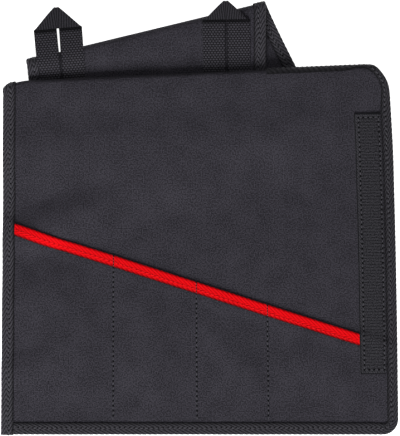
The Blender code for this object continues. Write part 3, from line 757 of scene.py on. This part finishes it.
def tape_finish(name, dark, light, fleck, width, shade_width, gloss=0.12, relief=0.0004):
    """Herringbone tape: its ribs, the threads that they are made of, and a painted shade that darkens it towards its
    inner edge, where that edge would shade the cloth.
    """
    material = new_finish(name, light, 0.7, 0.03, gloss)
    uv, u, v = pattern_place(material)
    outward = calc(material, "ABSOLUTE", v)
    back = calc(material, "MINIMUM", calc(material, "MAXIMUM", calc(material, "SUBTRACT", outward, RIB_TURN), 0.0), RIB_BACK)
    across = calc(material, "SUBTRACT", outward, calc(material, "MULTIPLY", back, 2.0))
    phase = calc(material, "ADD", u, calc(material, "MULTIPLY", across, RIB_STEEPNESS))
    ribs = threads(material, phase, RIB_PERIOD)
    strands = threads(material, calc(material, "SUBTRACT", u, across), 0.0011)
    lumps = grains(material, uv, 0.0014, 1.0)
    shade = calc(material, "ADD", calc(material, "MULTIPLY", ribs, 0.95), spread(material, lumps, fleck))
    # Painted shade: within shade_width of the inner edge the colour goes down to near black
    painted_groove_shade = calc(material, "DIVIDE", calc(material, "SUBTRACT", width, outward), shade_width)
    colour = colour_by(material, painted_groove_shade, PAINTED_GROOVE_SHADE, light)
    material.node_tree.links.new(colour_by(material, shade, dark, light), colour.node.inputs[7])
    height = calc(material, "ADD", ribs, calc(material, "MULTIPLY", strands, 0.3))
    height = calc(material, "ADD", height, calc(material, "MULTIPLY", lumps, 0.3))
    set_surface(material, colour, height, relief)
    return material


TAPE_DARK = (0.004, 0.004, 0.006)
TAPE_LIGHT = (0.048, 0.0455, 0.054)
left_finish = tape_finish("black_tape", TAPE_DARK, TAPE_LIGHT, 1.2, BINDING_WIDTH, 0.0022)
edge_light = tuple(part * 0.76 for part in TAPE_LIGHT)
edge_finish = tape_finish("black_edge_tape", TAPE_DARK, edge_light, 1.2, BOTTOM_BINDING_WIDTH, 0.0026)

left_route = edge_route(crossing(LEFT_SIDE, HEADER_END), [LEFT_SIDE], [], LEFT_FOOT)
left_binding = folded_tape("left_tape", left_route, BINDING_WIDTH, tape_on_panel, left_finish)
edge_start = crossing(BOTTOM_SIDE, moved(LEFT_SIDE, BINDING_WIDTH + GAP))
edge_end = crossing(TOP_SIDE, moved(HEADER_SIDE, -GAP))
edge_sides = [BOTTOM_SIDE, RIGHT_SIDE, TOP_SIDE]
around_edge = edge_route(edge_start, edge_sides, [BOTTOM_CORNER, TOP_CORNER], edge_end)
narrowed = ease((around_edge[0][:, 0] - RIGHT + BOTTOM_CORNER * 2) / (BOTTOM_CORNER * 2)) * (around_edge[0][:, 1] < 0)
narrowed = np.maximum(narrowed, around_edge[0][:, 1] > BOTTOM + BOTTOM_CORNER)
drawn_in = mix(1, EDGE_BINDING_WIDTH / BOTTOM_BINDING_WIDTH, narrowed)
drawn_in = drawn_in * mix(1, TOP_NARROW, ease((around_edge[0][:, 1] - TOP_NARROW_START) / TOP_NARROW_FADE))
on_top = ease((RIGHT - TOP_CORNER - around_edge[0][:, 0]) / TOP_NARROW_FADE + 0.5) * (around_edge[0][:, 1] > 0)
drawn_in = mix(drawn_in, TOP_WIDE, on_top)
edge_binding = folded_tape("edge_tape", around_edge, BOTTOM_BINDING_WIDTH, tape_on_panel, edge_finish, drawn_in)
for piece, node in ((left_binding, "left_binding"), (edge_binding, "edge_binding")):
    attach(piece, "root")
    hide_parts(node)


# Stitching of the panel's bindings
# Black lockstitch, about six stitches to the inch, through both legs of the tape. Each stitch is a short
# thread that dips into a needle hole at its ends, whose shade is painted as a dark disc, and it shows on both faces.

STITCH_PITCH = 0.00423
STITCH_LENGTH = 0.0031
THREAD = 0.0006
NEEDLE_HOLE_SHADE = (0.0016, 0.0012)
HOLE_SHADE_DEPTH = 0.0004
BINDING_SEAM = 0.0043


def plain_finish(name, colour, roughness):
    """Thread, or the painted shade of a needle hole: one colour, a little uneven."""
    material = new_finish(name, colour, roughness, 0.0)
    place_socket = add_node(material, "ShaderNodeTexCoord").outputs["Object"]
    lumps = grains(material, place_socket, 0.0008, 1.0)
    paler = tuple(part * 1.9 for part in colour)
    set_surface(material, colour_by(material, lumps, colour, paler), lumps, 0.00005)
    return material


black_thread = plain_finish("black_thread", (0.048, 0.047, 0.054), 0.5)
# Painted shade: the needle holes are near-black discs where the thread goes down
black_hole_shade = plain_finish("black_needle_hole_shade", (0.0012, 0.0012, 0.0016), 0.9)


def one_stitch(pitch, hole_shade_size):
    """A stitch along X that lies on the face z = 0: its thread, and a dark disc of painted shade where it goes down
    into the hole.
    """
    bpy.ops.object.select_all(action="DESELECT")
    bpy.ops.mesh.primitive_uv_sphere_add(
        segments=8, ring_count=6, radius=0.5, location=(pitch / 2, 0, 0), scale=(*hole_shade_size, HOLE_SHADE_DEPTH)
    )
    bpy.ops.object.transform_apply(location=True, rotation=True, scale=True)
    hole = bpy.context.active_object
    length = STITCH_LENGTH * pitch / STITCH_PITCH
    bpy.ops.mesh.primitive_uv_sphere_add(
        segments=8, ring_count=8, radius=0.5, rotation=(0, math.pi / 2, 0), scale=(THREAD, THREAD, length)
    )
    bpy.ops.object.transform_apply(location=True, rotation=True, scale=True)
    thread = bpy.context.active_object
    corners = coordinates(thread)
    corners[:, 2] += THREAD * (0.35 - (corners[:, 0] / length * 2) ** 2 / 2)
    move_to(thread, corners)
    return thread, hole


def sew(
    name, route, surface, under=False, finishes=(black_thread, black_hole_shade), pitch=STITCH_PITCH, hole_shade_size=NEEDLE_HOLE_SHADE
):
    """Stitches along a route of the flat pattern. surface gives the face that they lie on."""
    route = np.asarray(route)
    lengths = np.concatenate(([0], np.cumsum(np.linalg.norm(np.diff(route, axis=0), axis=1))))
    count = max(1, int(lengths[-1] / pitch))
    middles = (np.arange(count) + 0.5) * lengths[-1] / count
    spots, ahead = (
        np.stack([np.interp(middles + step, lengths, route[:, axis]) for axis in (0, 1)], -1) for step in (-THREAD, THREAD)
    )
    along = (ahead - spots) / np.linalg.norm(ahead - spots, axis=1, keepdims=True)
    spots = (spots + ahead) / 2
    origin = surface(spots)
    forward = surface(spots + along * THREAD) - origin
    aside = (surface(spots + left_of(along) * THREAD) - origin) * (-1 if under else 1)
    forward /= np.linalg.norm(forward, axis=1, keepdims=True)
    outward = np.cross(forward, aside)
    outward /= np.linalg.norm(outward, axis=1, keepdims=True)
    axes = np.stack((forward, np.cross(outward, forward), outward), 1)
    made = []
    for model, finish in zip(one_stitch(pitch, hole_shade_size), finishes):
        only(model)
        copies = model.modifiers.new("copies", "ARRAY")
        copies.count = count
        copies.use_relative_offset = False
        bpy.ops.object.modifier_apply(modifier=copies.name)
        corners = coordinates(model).reshape(count, -1, 3)
        move_to(model, (np.einsum("nvk,nkj->nvj", corners, axes) + origin[:, None]).reshape(-1, 3))
        model.data.materials.append(finish)
        made.append(model)
    only(made[0])
    made[1].select_set(True)
    bpy.ops.object.join()
    made[0].name = name
    return made[0]


def tape_top(points):
    """The upper face of the binding round the panel."""
    return raised(on_panel, points, top_cloth(points) + TAPE_OFFSET + TAPE_WALL / 2)


def tape_under(points):
    return raised(on_panel, points, np.full(len(points), -TAPE_OFFSET - TAPE_WALL / 2 + THREAD / 4))


def keep_stitches(stitches):
    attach(stitches, "root")


def inner_route(route, inset, drawn_in=1.0):
    """A tape's route, moved in from its outer edge."""
    points, inwards, _ = route
    return points + inwards * inset * np.broadcast_to(drawn_in, len(points))[:, None]


for name, route in (
    ("left_stitches", inner_route(left_route, BINDING_WIDTH - BINDING_SEAM)),
    ("edge_stitches", inner_route(around_edge, BOTTOM_BINDING_WIDTH - BINDING_SEAM, drawn_in)),
):
    keep_stitches(sew(name, route, tape_top))
    keep_stitches(sew(name + "_under", route, tape_under, under=True))


# Binding of the pockets' mouth
# Red herringbone tape, 20 mm wide, folded in two round the slanting edge of the pocket cloth and sewn
# through near its lower edge, from the left binding to the fastener strip.


def tape_on_mouth(points, level):
    offset = pocket_offset(points) + mix(-MOUTH_TAPE_OFFSET, MOUTH_TAPE_OFFSET, level)
    return raised(on_panel, points, offset)


RED_SEAM_LEFT = 0.5
RED_SEAM_RIGHT = 0.75
RED_DARK = (0.59, 0.0012, 0.0035)
RED_LIGHT = (0.69, 0.0022, 0.005)
red_tape = tape_finish("red_tape", RED_DARK, RED_LIGHT, 0.4, MOUTH_TAPE_WIDTH, 0.0022, 0.03, 0.00025)
mouth_way = (MOUTH_OUTER[0], -MOUTH_OUTER[1])
mouth_ends = (moved(STRIP_LEFT, GAP), moved(LEFT_SIDE, BINDING_WIDTH + GAP))
mouth_start, mouth_end = (crossing(mouth_way, line) for line in mouth_ends)
mouth_route = edge_route(mouth_start, [mouth_way], [], mouth_end)
mouth_binding = folded_tape("mouth_tape", mouth_route, MOUTH_TAPE_WIDTH, tape_on_mouth, red_tape, ends=mouth_ends)
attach(mouth_binding, "root")
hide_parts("mouth_binding")


def mouth_top(points):
    return raised(on_panel, points, pocket_offset(points) + MOUTH_TAPE_OFFSET + TAPE_WALL / 2)


red_thread = plain_finish("red_thread", (0.5, 0.003, 0.005), 0.5)
# Painted shade in the red tape's needle holes: a darker red disc
red_hole_shade = plain_finish("red_needle_hole_shade", (0.25, 0.0, 0.001), 0.9)
shares = np.linspace(RED_SEAM_RIGHT, RED_SEAM_LEFT, 12)[:, None] * MOUTH_TAPE_WIDTH
red_seam = mix(mouth_start, mouth_end, np.linspace(0.01, 0.99, 12)[:, None]) + left_of(mouth_way[1]) * shares
keep_stitches(sew("mouth_stitches", red_seam, mouth_top, finishes=(red_thread, red_hole_shade)))


# Pocket seams
# Three lines of the same black lockstitch through both layers of cloth, with closer stitches where they
# cross the red tape.

SEAM_FOOT = 0.002
BAR_PITCH = 0.0021
PULLED_HOLE_SHADE = (0.0025, 0.0017)


def cloth_top(points):
    return raised(on_panel, points, pocket_offset(points) + CLOTH / 2)


def panel_under(points):
    return raised(on_panel, points, np.full(len(points), -CLOTH / 2 + THREAD / 4))


for number, (share, _, _) in enumerate(POCKETS[1:], 1):
    seam_line = line_through(panel_place(share, 0), panel_place(share, 1))
    foot = crossing(seam_line, moved(BOTTOM_SIDE, BOTTOM_BINDING_WIDTH + SEAM_FOOT))
    under_tape = crossing(seam_line, moved(MOUTH_OUTER, -MOUTH_TAPE_WIDTH))
    mouth = crossing(seam_line, moved(MOUTH_OUTER, -NOSE / 2))
    keep_stitches(sew(f"seam_{number}", (foot, under_tape), cloth_top, hole_shade_size=PULLED_HOLE_SHADE))
    keep_stitches(sew(f"seam_{number}_under", (foot, mouth), panel_under, under=True))
    keep_stitches(sew(f"seam_{number}_bar", (under_tape, mouth), mouth_top, pitch=BAR_PITCH))


# Fastener strip
# The soft half of a touch fastener, 23 mm wide: brushed loops on a woven ground, whose bare border is sewn
# to the panel all round.

FASTENER = 0.001
STRIP_CELL = 0.0009
STRIP_BORDER = 0.0037
# Width of the painted shadow along the strip's rim
STRIP_RIM_SHADE = 0.0008
RIGHT_BORDER = 0.0014
BORDER_SINK = 0.0004
BORDER_GROOVE = 0.0014


def strip_place(across, up):
    """Shares of the strip's width and length as places in the flat pattern."""
    ends = [line_through(panel_place(0, share), panel_place(1, share)) for share in (STRIP_BOTTOM, STRIP_TOP)]
    left = [crossing(STRIP_LEFT, end) for end in ends]
    right = [crossing(STRIP_RIGHT, end) for end in ends]
    across, up = np.asarray(across)[..., None], np.asarray(up)[..., None]
    return mix(mix(left[0], left[1], up), mix(right[0], right[1], up), across)


STRIP_LENGTH = float(np.linalg.norm(strip_place(0.0, 1.0) - strip_place(0.0, 0.0)))


def fastener_finish(name, dark, light):
    """Brushed loops inside a flat border whose threads run aslant, and a painted shadow along its left side and its
    ends. The UV map starts at the strip's lower left.
    """
    material = new_finish(name, light, 0.85, 0.06)
    uv, u, v = pattern_place(material)
    lumps = grains(material, uv, 0.001, 2.0)
    rows = threads(material, v, 0.0026)
    pile = calc(material, "ADD", spread(material, lumps, 2.0), spread(material, rows, 0.3))
    pile = calc(material, "ADD", pile, 0.26)
    slant = threads(material, calc(material, "ADD", u, calc(material, "MULTIPLY", v, 0.8)), 0.0021)
    border = calc(material, "ADD", calc(material, "MULTIPLY", slant, 0.5), spread(material, lumps, 1.6))
    border = calc(material, "ADD", border, 0.12)
    side = calc(material, "MINIMUM", u, calc(material, "SUBTRACT", STRIP_WIDTH + STRIP_BORDER - RIGHT_BORDER, u))
    end = calc(material, "MINIMUM", v, calc(material, "SUBTRACT", STRIP_LENGTH, v))
    edge = calc(material, "MINIMUM", side, end)
    inside = calc(material, "GREATER_THAN", edge, STRIP_BORDER)
    shade = mixed(material, inside, border, pile)
    # Painted shadow: the colour goes to its darkest within the rim width of the strip's left side and its ends
    shade = mixed(material, calc(material, "LESS_THAN", edge, STRIP_RIM_SHADE), shade, 0.0)
    set_surface(material, colour_by(material, shade, dark, light), shade, 0.0003)
    return material


black_fastener = fastener_finish("black_fastener", (0.0035, 0.0035, 0.005), (0.056, 0.054, 0.063))
strip_columns = steps(0, 1, STRIP_CELL / STRIP_WIDTH)
strip_rows = steps(0, 1, STRIP_CELL / STRIP_LENGTH)
strip = flat_grid("touch_strip", strip_columns, strip_rows, strip_place)
flat = coordinates(strip)[:, :2]
strip_foot = strip_place(0.0, 0.0)
level = line_through(strip_foot, strip_place(1.0, 0.0))
inward = np.stack((-beyond(STRIP_LEFT, flat), beyond(level, flat)), -1)
keep_pattern(strip, inward)
right_side = STRIP_WIDTH + STRIP_BORDER - RIGHT_BORDER
from_edge = np.minimum(inward, (right_side, STRIP_LENGTH) - inward).min(1)
sunk = BORDER_SINK * np.exp(-((from_edge - STRIP_BORDER) / BORDER_GROOVE) ** 2)
strip_offset = top_cloth(flat) + CLOTH / 2 + GAP + FASTENER / 2 - sunk
move_to(strip, raised(on_panel, flat, strip_offset))
give_wall(strip, FASTENER, black_fastener)
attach(strip, "root")
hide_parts("fastener_strip")


def strip_top(points):
    return raised(on_panel, points, top_cloth(points) + CLOTH / 2 + GAP + FASTENER - BORDER_SINK / 2)


border_left, border_right = STRIP_BORDER / STRIP_WIDTH, 1 - RIGHT_BORDER / STRIP_WIDTH
border_up = STRIP_BORDER / STRIP_LENGTH
border_corners = ((0, 0), (1, 0), (1, 1), (0, 1), (0, 0))
border = [
    strip_place(mix(border_left, border_right, across), mix(border_up, 1 - border_up, up))
    for across, up in border_corners
]
for number, ends in enumerate(zip(border, border[1:])):
    keep_stitches(sew(f"strip_stitches_{number}", ends, strip_top, hole_shade_size=PULLED_HOLE_SHADE))
    keep_stitches(sew(f"strip_stitches_{number}_under", ends, panel_under, under=True))


# Cover
# The same cloth again: it goes up from under the header, turns under along its slanting fold and lies
# behind the panel. A tape binds its two sides and its end.

COVER_CORNER = 0.0165
COVER_BINDING_WIDTH = 0.0108
COVER_SINK_SHARE = 0.97
REAR_DRAW = 0.0036
REAR_FADE = 0.020
COVER_LOWERED = 0.0012
LEFT_DRAW = 0.0015
LEFT_DRAW_REACH = 0.06
COVER_LOW = crossing(FOLD_LINE, (place(0, 0), place(0, 1)))[1] - HEADER_DEPTH


def front_height(points):
    """The height of the cover's front layer, which sinks from its fold to below the header."""
    back = np.maximum(0, -beyond(COVER_FOLD, points))
    foot = points + back[..., None] * left_of(COVER_FOLD[1])
    reach = beyond(moved(FOLD_LINE, FOLD_START), foot) / (COVER_FOLD[1] @ FOLD_LINE[1])
    sunk = ease(back / (reach * COVER_SINK_SHARE))
    return mix(BACK_LAYER + 2 * COVER_FOLD_RADIUS, FRONT_LAYER, sunk)


def on_cover(points):
    """The middle of the cover's cloth at these places of the flat pattern."""
    outward = left_of(COVER_FOLD[1])
    past = np.maximum(0, beyond(COVER_FOLD, points))
    foot = points - past[..., None] * outward
    laid = bent(foot, outward, front_height(foot), past, COVER_FOLD_RADIUS, math.pi)
    laid[..., 0] -= REAR_DRAW * (1 - np.exp(-past / REAR_FADE))
    laid[..., 0] += LEFT_DRAW * (1 - ease(beyond(COVER_SIDE_LEFT, points) / LEFT_DRAW_REACH))
    laid[..., 1] -= COVER_LOWERED
    return laid


def cover_place(across, past):
    """A share of the cover's width, and how far past its fold's start."""
    rows = [[crossing(side, moved(COVER_FOLD, step)) for side in (COVER_SIDE_LEFT, COVER_SIDE_RIGHT)] for step in cover_rows]
    rows = np.array(rows)[np.searchsorted(cover_rows, past)]
    return mix(rows[:, 0], rows[:, 1], across[:, None])


cover_rows = np.concatenate((
    steps(-0.112, -0.004, CLOTH_CELL),
    steps(-0.004, 0.018, FOLD_CELL)[1:],
    steps(0.018, 0.152, CLOTH_CELL)[1:],
))
cover = flat_grid("cover_cloth", steps(0, 1, CLOTH_CELL / COVER_WIDTH), cover_rows, cover_place)
cut_away(cover, [moved(COVER_SIDE_LEFT, EDGE_INSET), moved(COVER_SIDE_RIGHT, EDGE_INSET), moved(COVER_SIDE_TOP, EDGE_INSET)]
         + [(place(0, COVER_LOW), place(1, 0))]
         + corner_cuts(COVER_SIDE_RIGHT, COVER_SIDE_TOP, COVER_CORNER, EDGE_INSET)
         + corner_cuts(COVER_SIDE_TOP, COVER_SIDE_LEFT, COVER_CORNER, EDGE_INSET))
flat = coordinates(cover)[:, :2]
keep_pattern(cover, flat)
move_to(cover, on_cover(flat))
give_wall(cover, CLOTH, black_cloth)
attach(cover, "root")
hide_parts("cover")


def tape_on_cover(points, level):
    return raised(on_cover, points, mix(-TAPE_OFFSET, TAPE_OFFSET, level))


cover_low = (place(0, COVER_LOW), place(1, 0))
cover_route = edge_route(
    crossing(COVER_SIDE_RIGHT, cover_low),
    [COVER_SIDE_RIGHT, COVER_SIDE_TOP, COVER_SIDE_LEFT],
    [COVER_CORNER, COVER_CORNER],
    crossing(COVER_SIDE_LEFT, cover_low),
)
cover_finish = tape_finish("black_cover_tape", TAPE_DARK, TAPE_LIGHT, 1.2, COVER_BINDING_WIDTH, 0.0020)
cover_binding = folded_tape("cover_tape", cover_route, COVER_BINDING_WIDTH, tape_on_cover, cover_finish, fine_below=True)
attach(cover_binding, "root")
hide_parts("cover_binding")


def cover_tape_top(points):
    return raised(on_cover, points, np.full(len(points), TAPE_OFFSET + TAPE_WALL / 2))


def cover_tape_under(points):
    return raised(on_cover, points, np.full(len(points), -TAPE_OFFSET - TAPE_WALL / 2))


cover_seam = inner_route(cover_route, COVER_BINDING_WIDTH - BINDING_SEAM)
keep_stitches(sew("cover_stitches", cover_seam, cover_tape_top))
keep_stitches(sew("cover_stitches_under", cover_seam, cover_tape_under, under=True))


# Hanging loops
# Straps of woven webbing, 20 mm wide. Each goes up, turns over twice at a slant to make a point, and comes
# back down beside itself, and both ends are sewn in under the header.

LOOP_WIDTH = 0.0202
LOOP_TIP = 0.001
LOOP_TAIL = 0.038
LOOP_REACH = 0.045
LOOP_DROOP = 0.0042
LOOP_CELL = 0.0006
BEND_STEPS = 8
STRAP_RADIUS = (WEBBING + GAP) / 2
STRAP_BEND = math.pi * STRAP_RADIUS * math.sqrt(2)
STRAND_GAP = STRAP_BEND + LOOP_TIP

# Name, node, middle as a share of the cover's width, reach as a share of LOOP_REACH, turn in degrees, the
# gaps between the strands as shares of LOOP_WIDTH, and how far the tip is drawn down and in
LOOPS = (
    ("left_loop", "hanging_loop_left", 0.129, 0.89, 4.9, 0.095, 0.035, 0.92, 0.97),
    ("right_loop", "hanging_loop_right", 0.832, 0.27, 0.9, 0.05, 0.045, 0.8, 0.91),
)


def turned_over(spots, heights, line):
    """Places and heights on a strap after the part past the line is turned up and over it."""
    past = np.maximum(0, beyond(line, spots))
    outward = left_of(line[1])
    turn = np.minimum(past / STRAP_RADIUS, math.pi)
    reach = STRAP_RADIUS - heights
    out = reach * np.sin(turn) + (past - STRAP_RADIUS * turn) * np.cos(turn)
    over = past > 0
    spots = np.where(over[:, None], spots + (out - past)[:, None] * outward, spots)
    return spots, np.where(over, STRAP_RADIUS - reach * np.cos(turn), heights)


def strap_rows(strand):
    """Running lengths at the strap's inner and outer edges: strand, fold, tip, fold, strand."""
    turned = strand + STRAND_GAP
    end = turned + STRAP_BEND + strand
    fine = max(4, round(strand / LOOP_CELL))
    tip = round(LOOP_WIDTH / LOOP_CELL)
    stretches = (
        (fine, strand, strand - LOOP_WIDTH),
        (BEND_STEPS, strand + STRAP_BEND, strand - LOOP_WIDTH + STRAP_BEND),
        (tip, turned, turned + LOOP_WIDTH),
        (BEND_STEPS, turned + STRAP_BEND, turned + LOOP_WIDTH + STRAP_BEND),
        (fine, end, end),
    )
    rows = [np.zeros((1, 2))]
    for count, inner, outer in stretches:
        shares = np.arange(1, count + 1)[:, None] / count
        rows.append(mix(rows[-1][-1], np.array((inner, outer)), shares))
    return np.concatenate(rows)


ROW_PITCH = 0.0020
FLOAT_PITCH = 0.0027
REVERSE_PITCH = 0.0023
TIP_HALF = LOOP_WIDTH + (STRAND_GAP + STRAP_BEND) / 2
# Width of the painted shadow on the webbing's face below the tip
PAINTED_TIP_SHADE = 0.0014
TIP_FADE = 0.003


def webbing_finish(name, dark, light, reverse):
    """Webbing: rows of short floats on its face, and plain ribs across its reverse. The face has a painted shadow just
    below the turned-over tip and along its inner edge.
    """
    material = new_finish(name, light, 0.7, 0.03, 0.08)
    uv, u, v = pattern_place(material)
    lumps = grains(material, uv, 0.0012, 1.0)
    if reverse:
        woven = threads(material, u, REVERSE_PITCH)
        level = 0.6
    else:
        row = calc(material, "FLOORED_MODULO", calc(material, "FLOOR", calc(material, "DIVIDE", u, ROW_PITCH)), 2.0)
        shifted = calc(material, "ADD", v, calc(material, "MULTIPLY", row, FLOAT_PITCH / 2))
        woven = calc(material, "MULTIPLY", threads(material, u, ROW_PITCH), threads(material, shifted, FLOAT_PITCH))
        woven = calc(material, "POWER", woven, 1.5)
        level = 1.7
    shade = calc(material, "ADD", calc(material, "MULTIPLY", woven, level), spread(material, lumps, 0.8))
    # Painted shadow: the face goes dark near the tip's fold and along the strap's edge where v is 0
    if not reverse:
        under_tip = calc(material, "SUBTRACT", calc(material, "ABSOLUTE", u), TIP_HALF + PAINTED_TIP_SHADE / 2)
        painted_shadow = calc(material, "DIVIDE", calc(material, "MINIMUM", under_tip, v), PAINTED_TIP_SHADE)
        painted_shadow = calc(material, "MAXIMUM", calc(material, "MINIMUM", painted_shadow, 1.0), 0.0)
        shade = calc(material, "MULTIPLY", shade, painted_shadow)
    set_surface(material, colour_by(material, shade, dark, light), woven, 0.0004)
    return material


WEBBING_DARK = (0.002, 0.002, 0.003)
WEBBING_LIGHT = (0.046, 0.0435, 0.0525)
black_webbing = webbing_finish("black_webbing", WEBBING_DARK, WEBBING_LIGHT, reverse=False)
reverse_light = tuple(part * 1.15 for part in WEBBING_LIGHT)
webbing_reverse = webbing_finish("black_webbing_reverse", WEBBING_DARK, reverse_light, reverse=True)

for name, node_name, middle, reach, turn, upper_gap, lower_gap, tip_height, tip_width in LOOPS:
    up = place(-math.sin(math.radians(turn)), math.cos(math.radians(turn)))
    aside = place(up[1], -up[0])
    upright = (place(COVER_LEFT + COVER_WIDTH * middle, 0), place(0, 1))
    apex = crossing(upright, COVER_CREST) + place(0, LOOP_REACH * reach) - up * (STRAP_BEND / 2)
    tail_line = moved(FOLD_LINE, FOLD_START - LOOP_TAIL)
    strand = beyond(tail_line, apex) / (up @ UPHILL)
    base = apex - up * strand
    rows = strap_rows(strand)
    first_fold = (place(0, strand), place(1, 1) / math.sqrt(2))
    second_fold = (place(0, strand + STRAND_GAP), place(1, -1) / math.sqrt(2))

    def strap_pattern(number, share):
        row = rows[number.astype(int)]
        return np.stack((mix(row[:, 0], row[:, 1], share), LOOP_WIDTH * share), -1)

    piece = flat_grid(name, np.arange(len(rows)), steps(0, 1, LOOP_CELL / LOOP_WIDTH), strap_pattern)
    strap = coordinates(piece)[:, :2]
    keep_pattern(piece, strap - (rows[-1, 0] / 2, 0))
    spots, heights = turned_over(np.stack((-strap[:, 1], strap[:, 0]), -1), 0 * strap[:, 0], second_fold)
    spots, heights = turned_over(spots, heights, first_fold)
    below = strand - spots[:, 1]
    gap = LOOP_WIDTH * mix(upper_gap, lower_gap, ease((below / LOOP_WIDTH - 1) / 2))
    away = spots[:, 0] - STRAND_GAP / 2
    drawn_in = (STRAND_GAP - gap) / 2 * ease(below / LOOP_WIDTH)
    across = away - drawn_in * np.clip(away / (STRAND_GAP / 2), -1, 1)
    above = np.maximum(0, LOOP_WIDTH - below)
    across = across * mix(1, tip_width, ease(above / TIP_FADE))
    laid = base + across[:, None] * aside + (spots[:, 1] - (1 - tip_height) * above)[:, None] * up
    past = np.maximum(0, beyond(COVER_FOLD, laid))
    height = front_height(laid) + LOOP_LAYER - LOOP_DROOP * (past / LOOP_REACH) ** 2 + heights
    move_to(piece, np.concatenate((laid, height[:, None]), 1))
    give_wall(piece, WEBBING, black_webbing, webbing_reverse)
    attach(piece, "root")
    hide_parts(node_name)


# Studio
# A plain white floor under soft light, and the camera straight above.

FLOOR_DROP = 0.0006
VIEW_WIDTH = 0.3505
VIEW_CENTRE = (0.00035, 0.0317)
CAMERA_HEIGHT = 2.6
SENSOR = 36

bpy.ops.object.select_all(action="DESELECT")
bpy.ops.mesh.primitive_plane_add(size=8, location=(0, 0, -FLOOR_DROP))
floor = bpy.context.active_object
floor.name = "floor"
white = new_finish("white_floor", (0.92, 0.92, 0.92), 0.9, 0.0)
white.node_tree.nodes["Principled BSDF"].inputs["Emission Color"].default_value = (1, 1, 1, 1)
white.node_tree.nodes["Principled BSDF"].inputs["Emission Strength"].default_value = 1.0
floor.data.materials.append(white)

# Name, place, size across, power in watts
LAMPS = (
    ("front_softbox", (-0.45, -1.5, 1.3), 1.3, 66),
    ("rear_softbox", (0.3, 1.1, 2.1), 1.3, 12),
)
for name, spot, across, power in LAMPS:
    light = bpy.data.lights.new(name, "AREA")
    light.shape = "SQUARE"
    light.size = across
    light.energy = power
    lamp = bpy.data.objects.new(name, light)
    lamp.location = spot
    lamp.rotation_euler = (-Vector(spot)).to_track_quat("-Z", "Y").to_euler()
    bpy.context.scene.collection.objects.link(lamp)

world = bpy.data.worlds.new("studio")
bpy.context.scene.world = world
world.use_nodes = True
world.node_tree.nodes["Background"].inputs["Color"].default_value = (1, 1, 1, 1)
world.node_tree.nodes["Background"].inputs["Strength"].default_value = 0.14

lens = bpy.data.cameras.new("camera")
lens.sensor_fit = "HORIZONTAL"
lens.sensor_width = SENSOR
lens.lens = SENSOR * CAMERA_HEIGHT / VIEW_WIDTH
lens.clip_end = 20
camera = bpy.data.objects.new("camera", lens)
camera.location = (*VIEW_CENTRE, CAMERA_HEIGHT + FRONT_LAYER)
bpy.context.scene.collection.objects.link(camera)
bpy.context.scene.camera = camera
bpy.context.scene.view_settings.view_transform = "Standard"
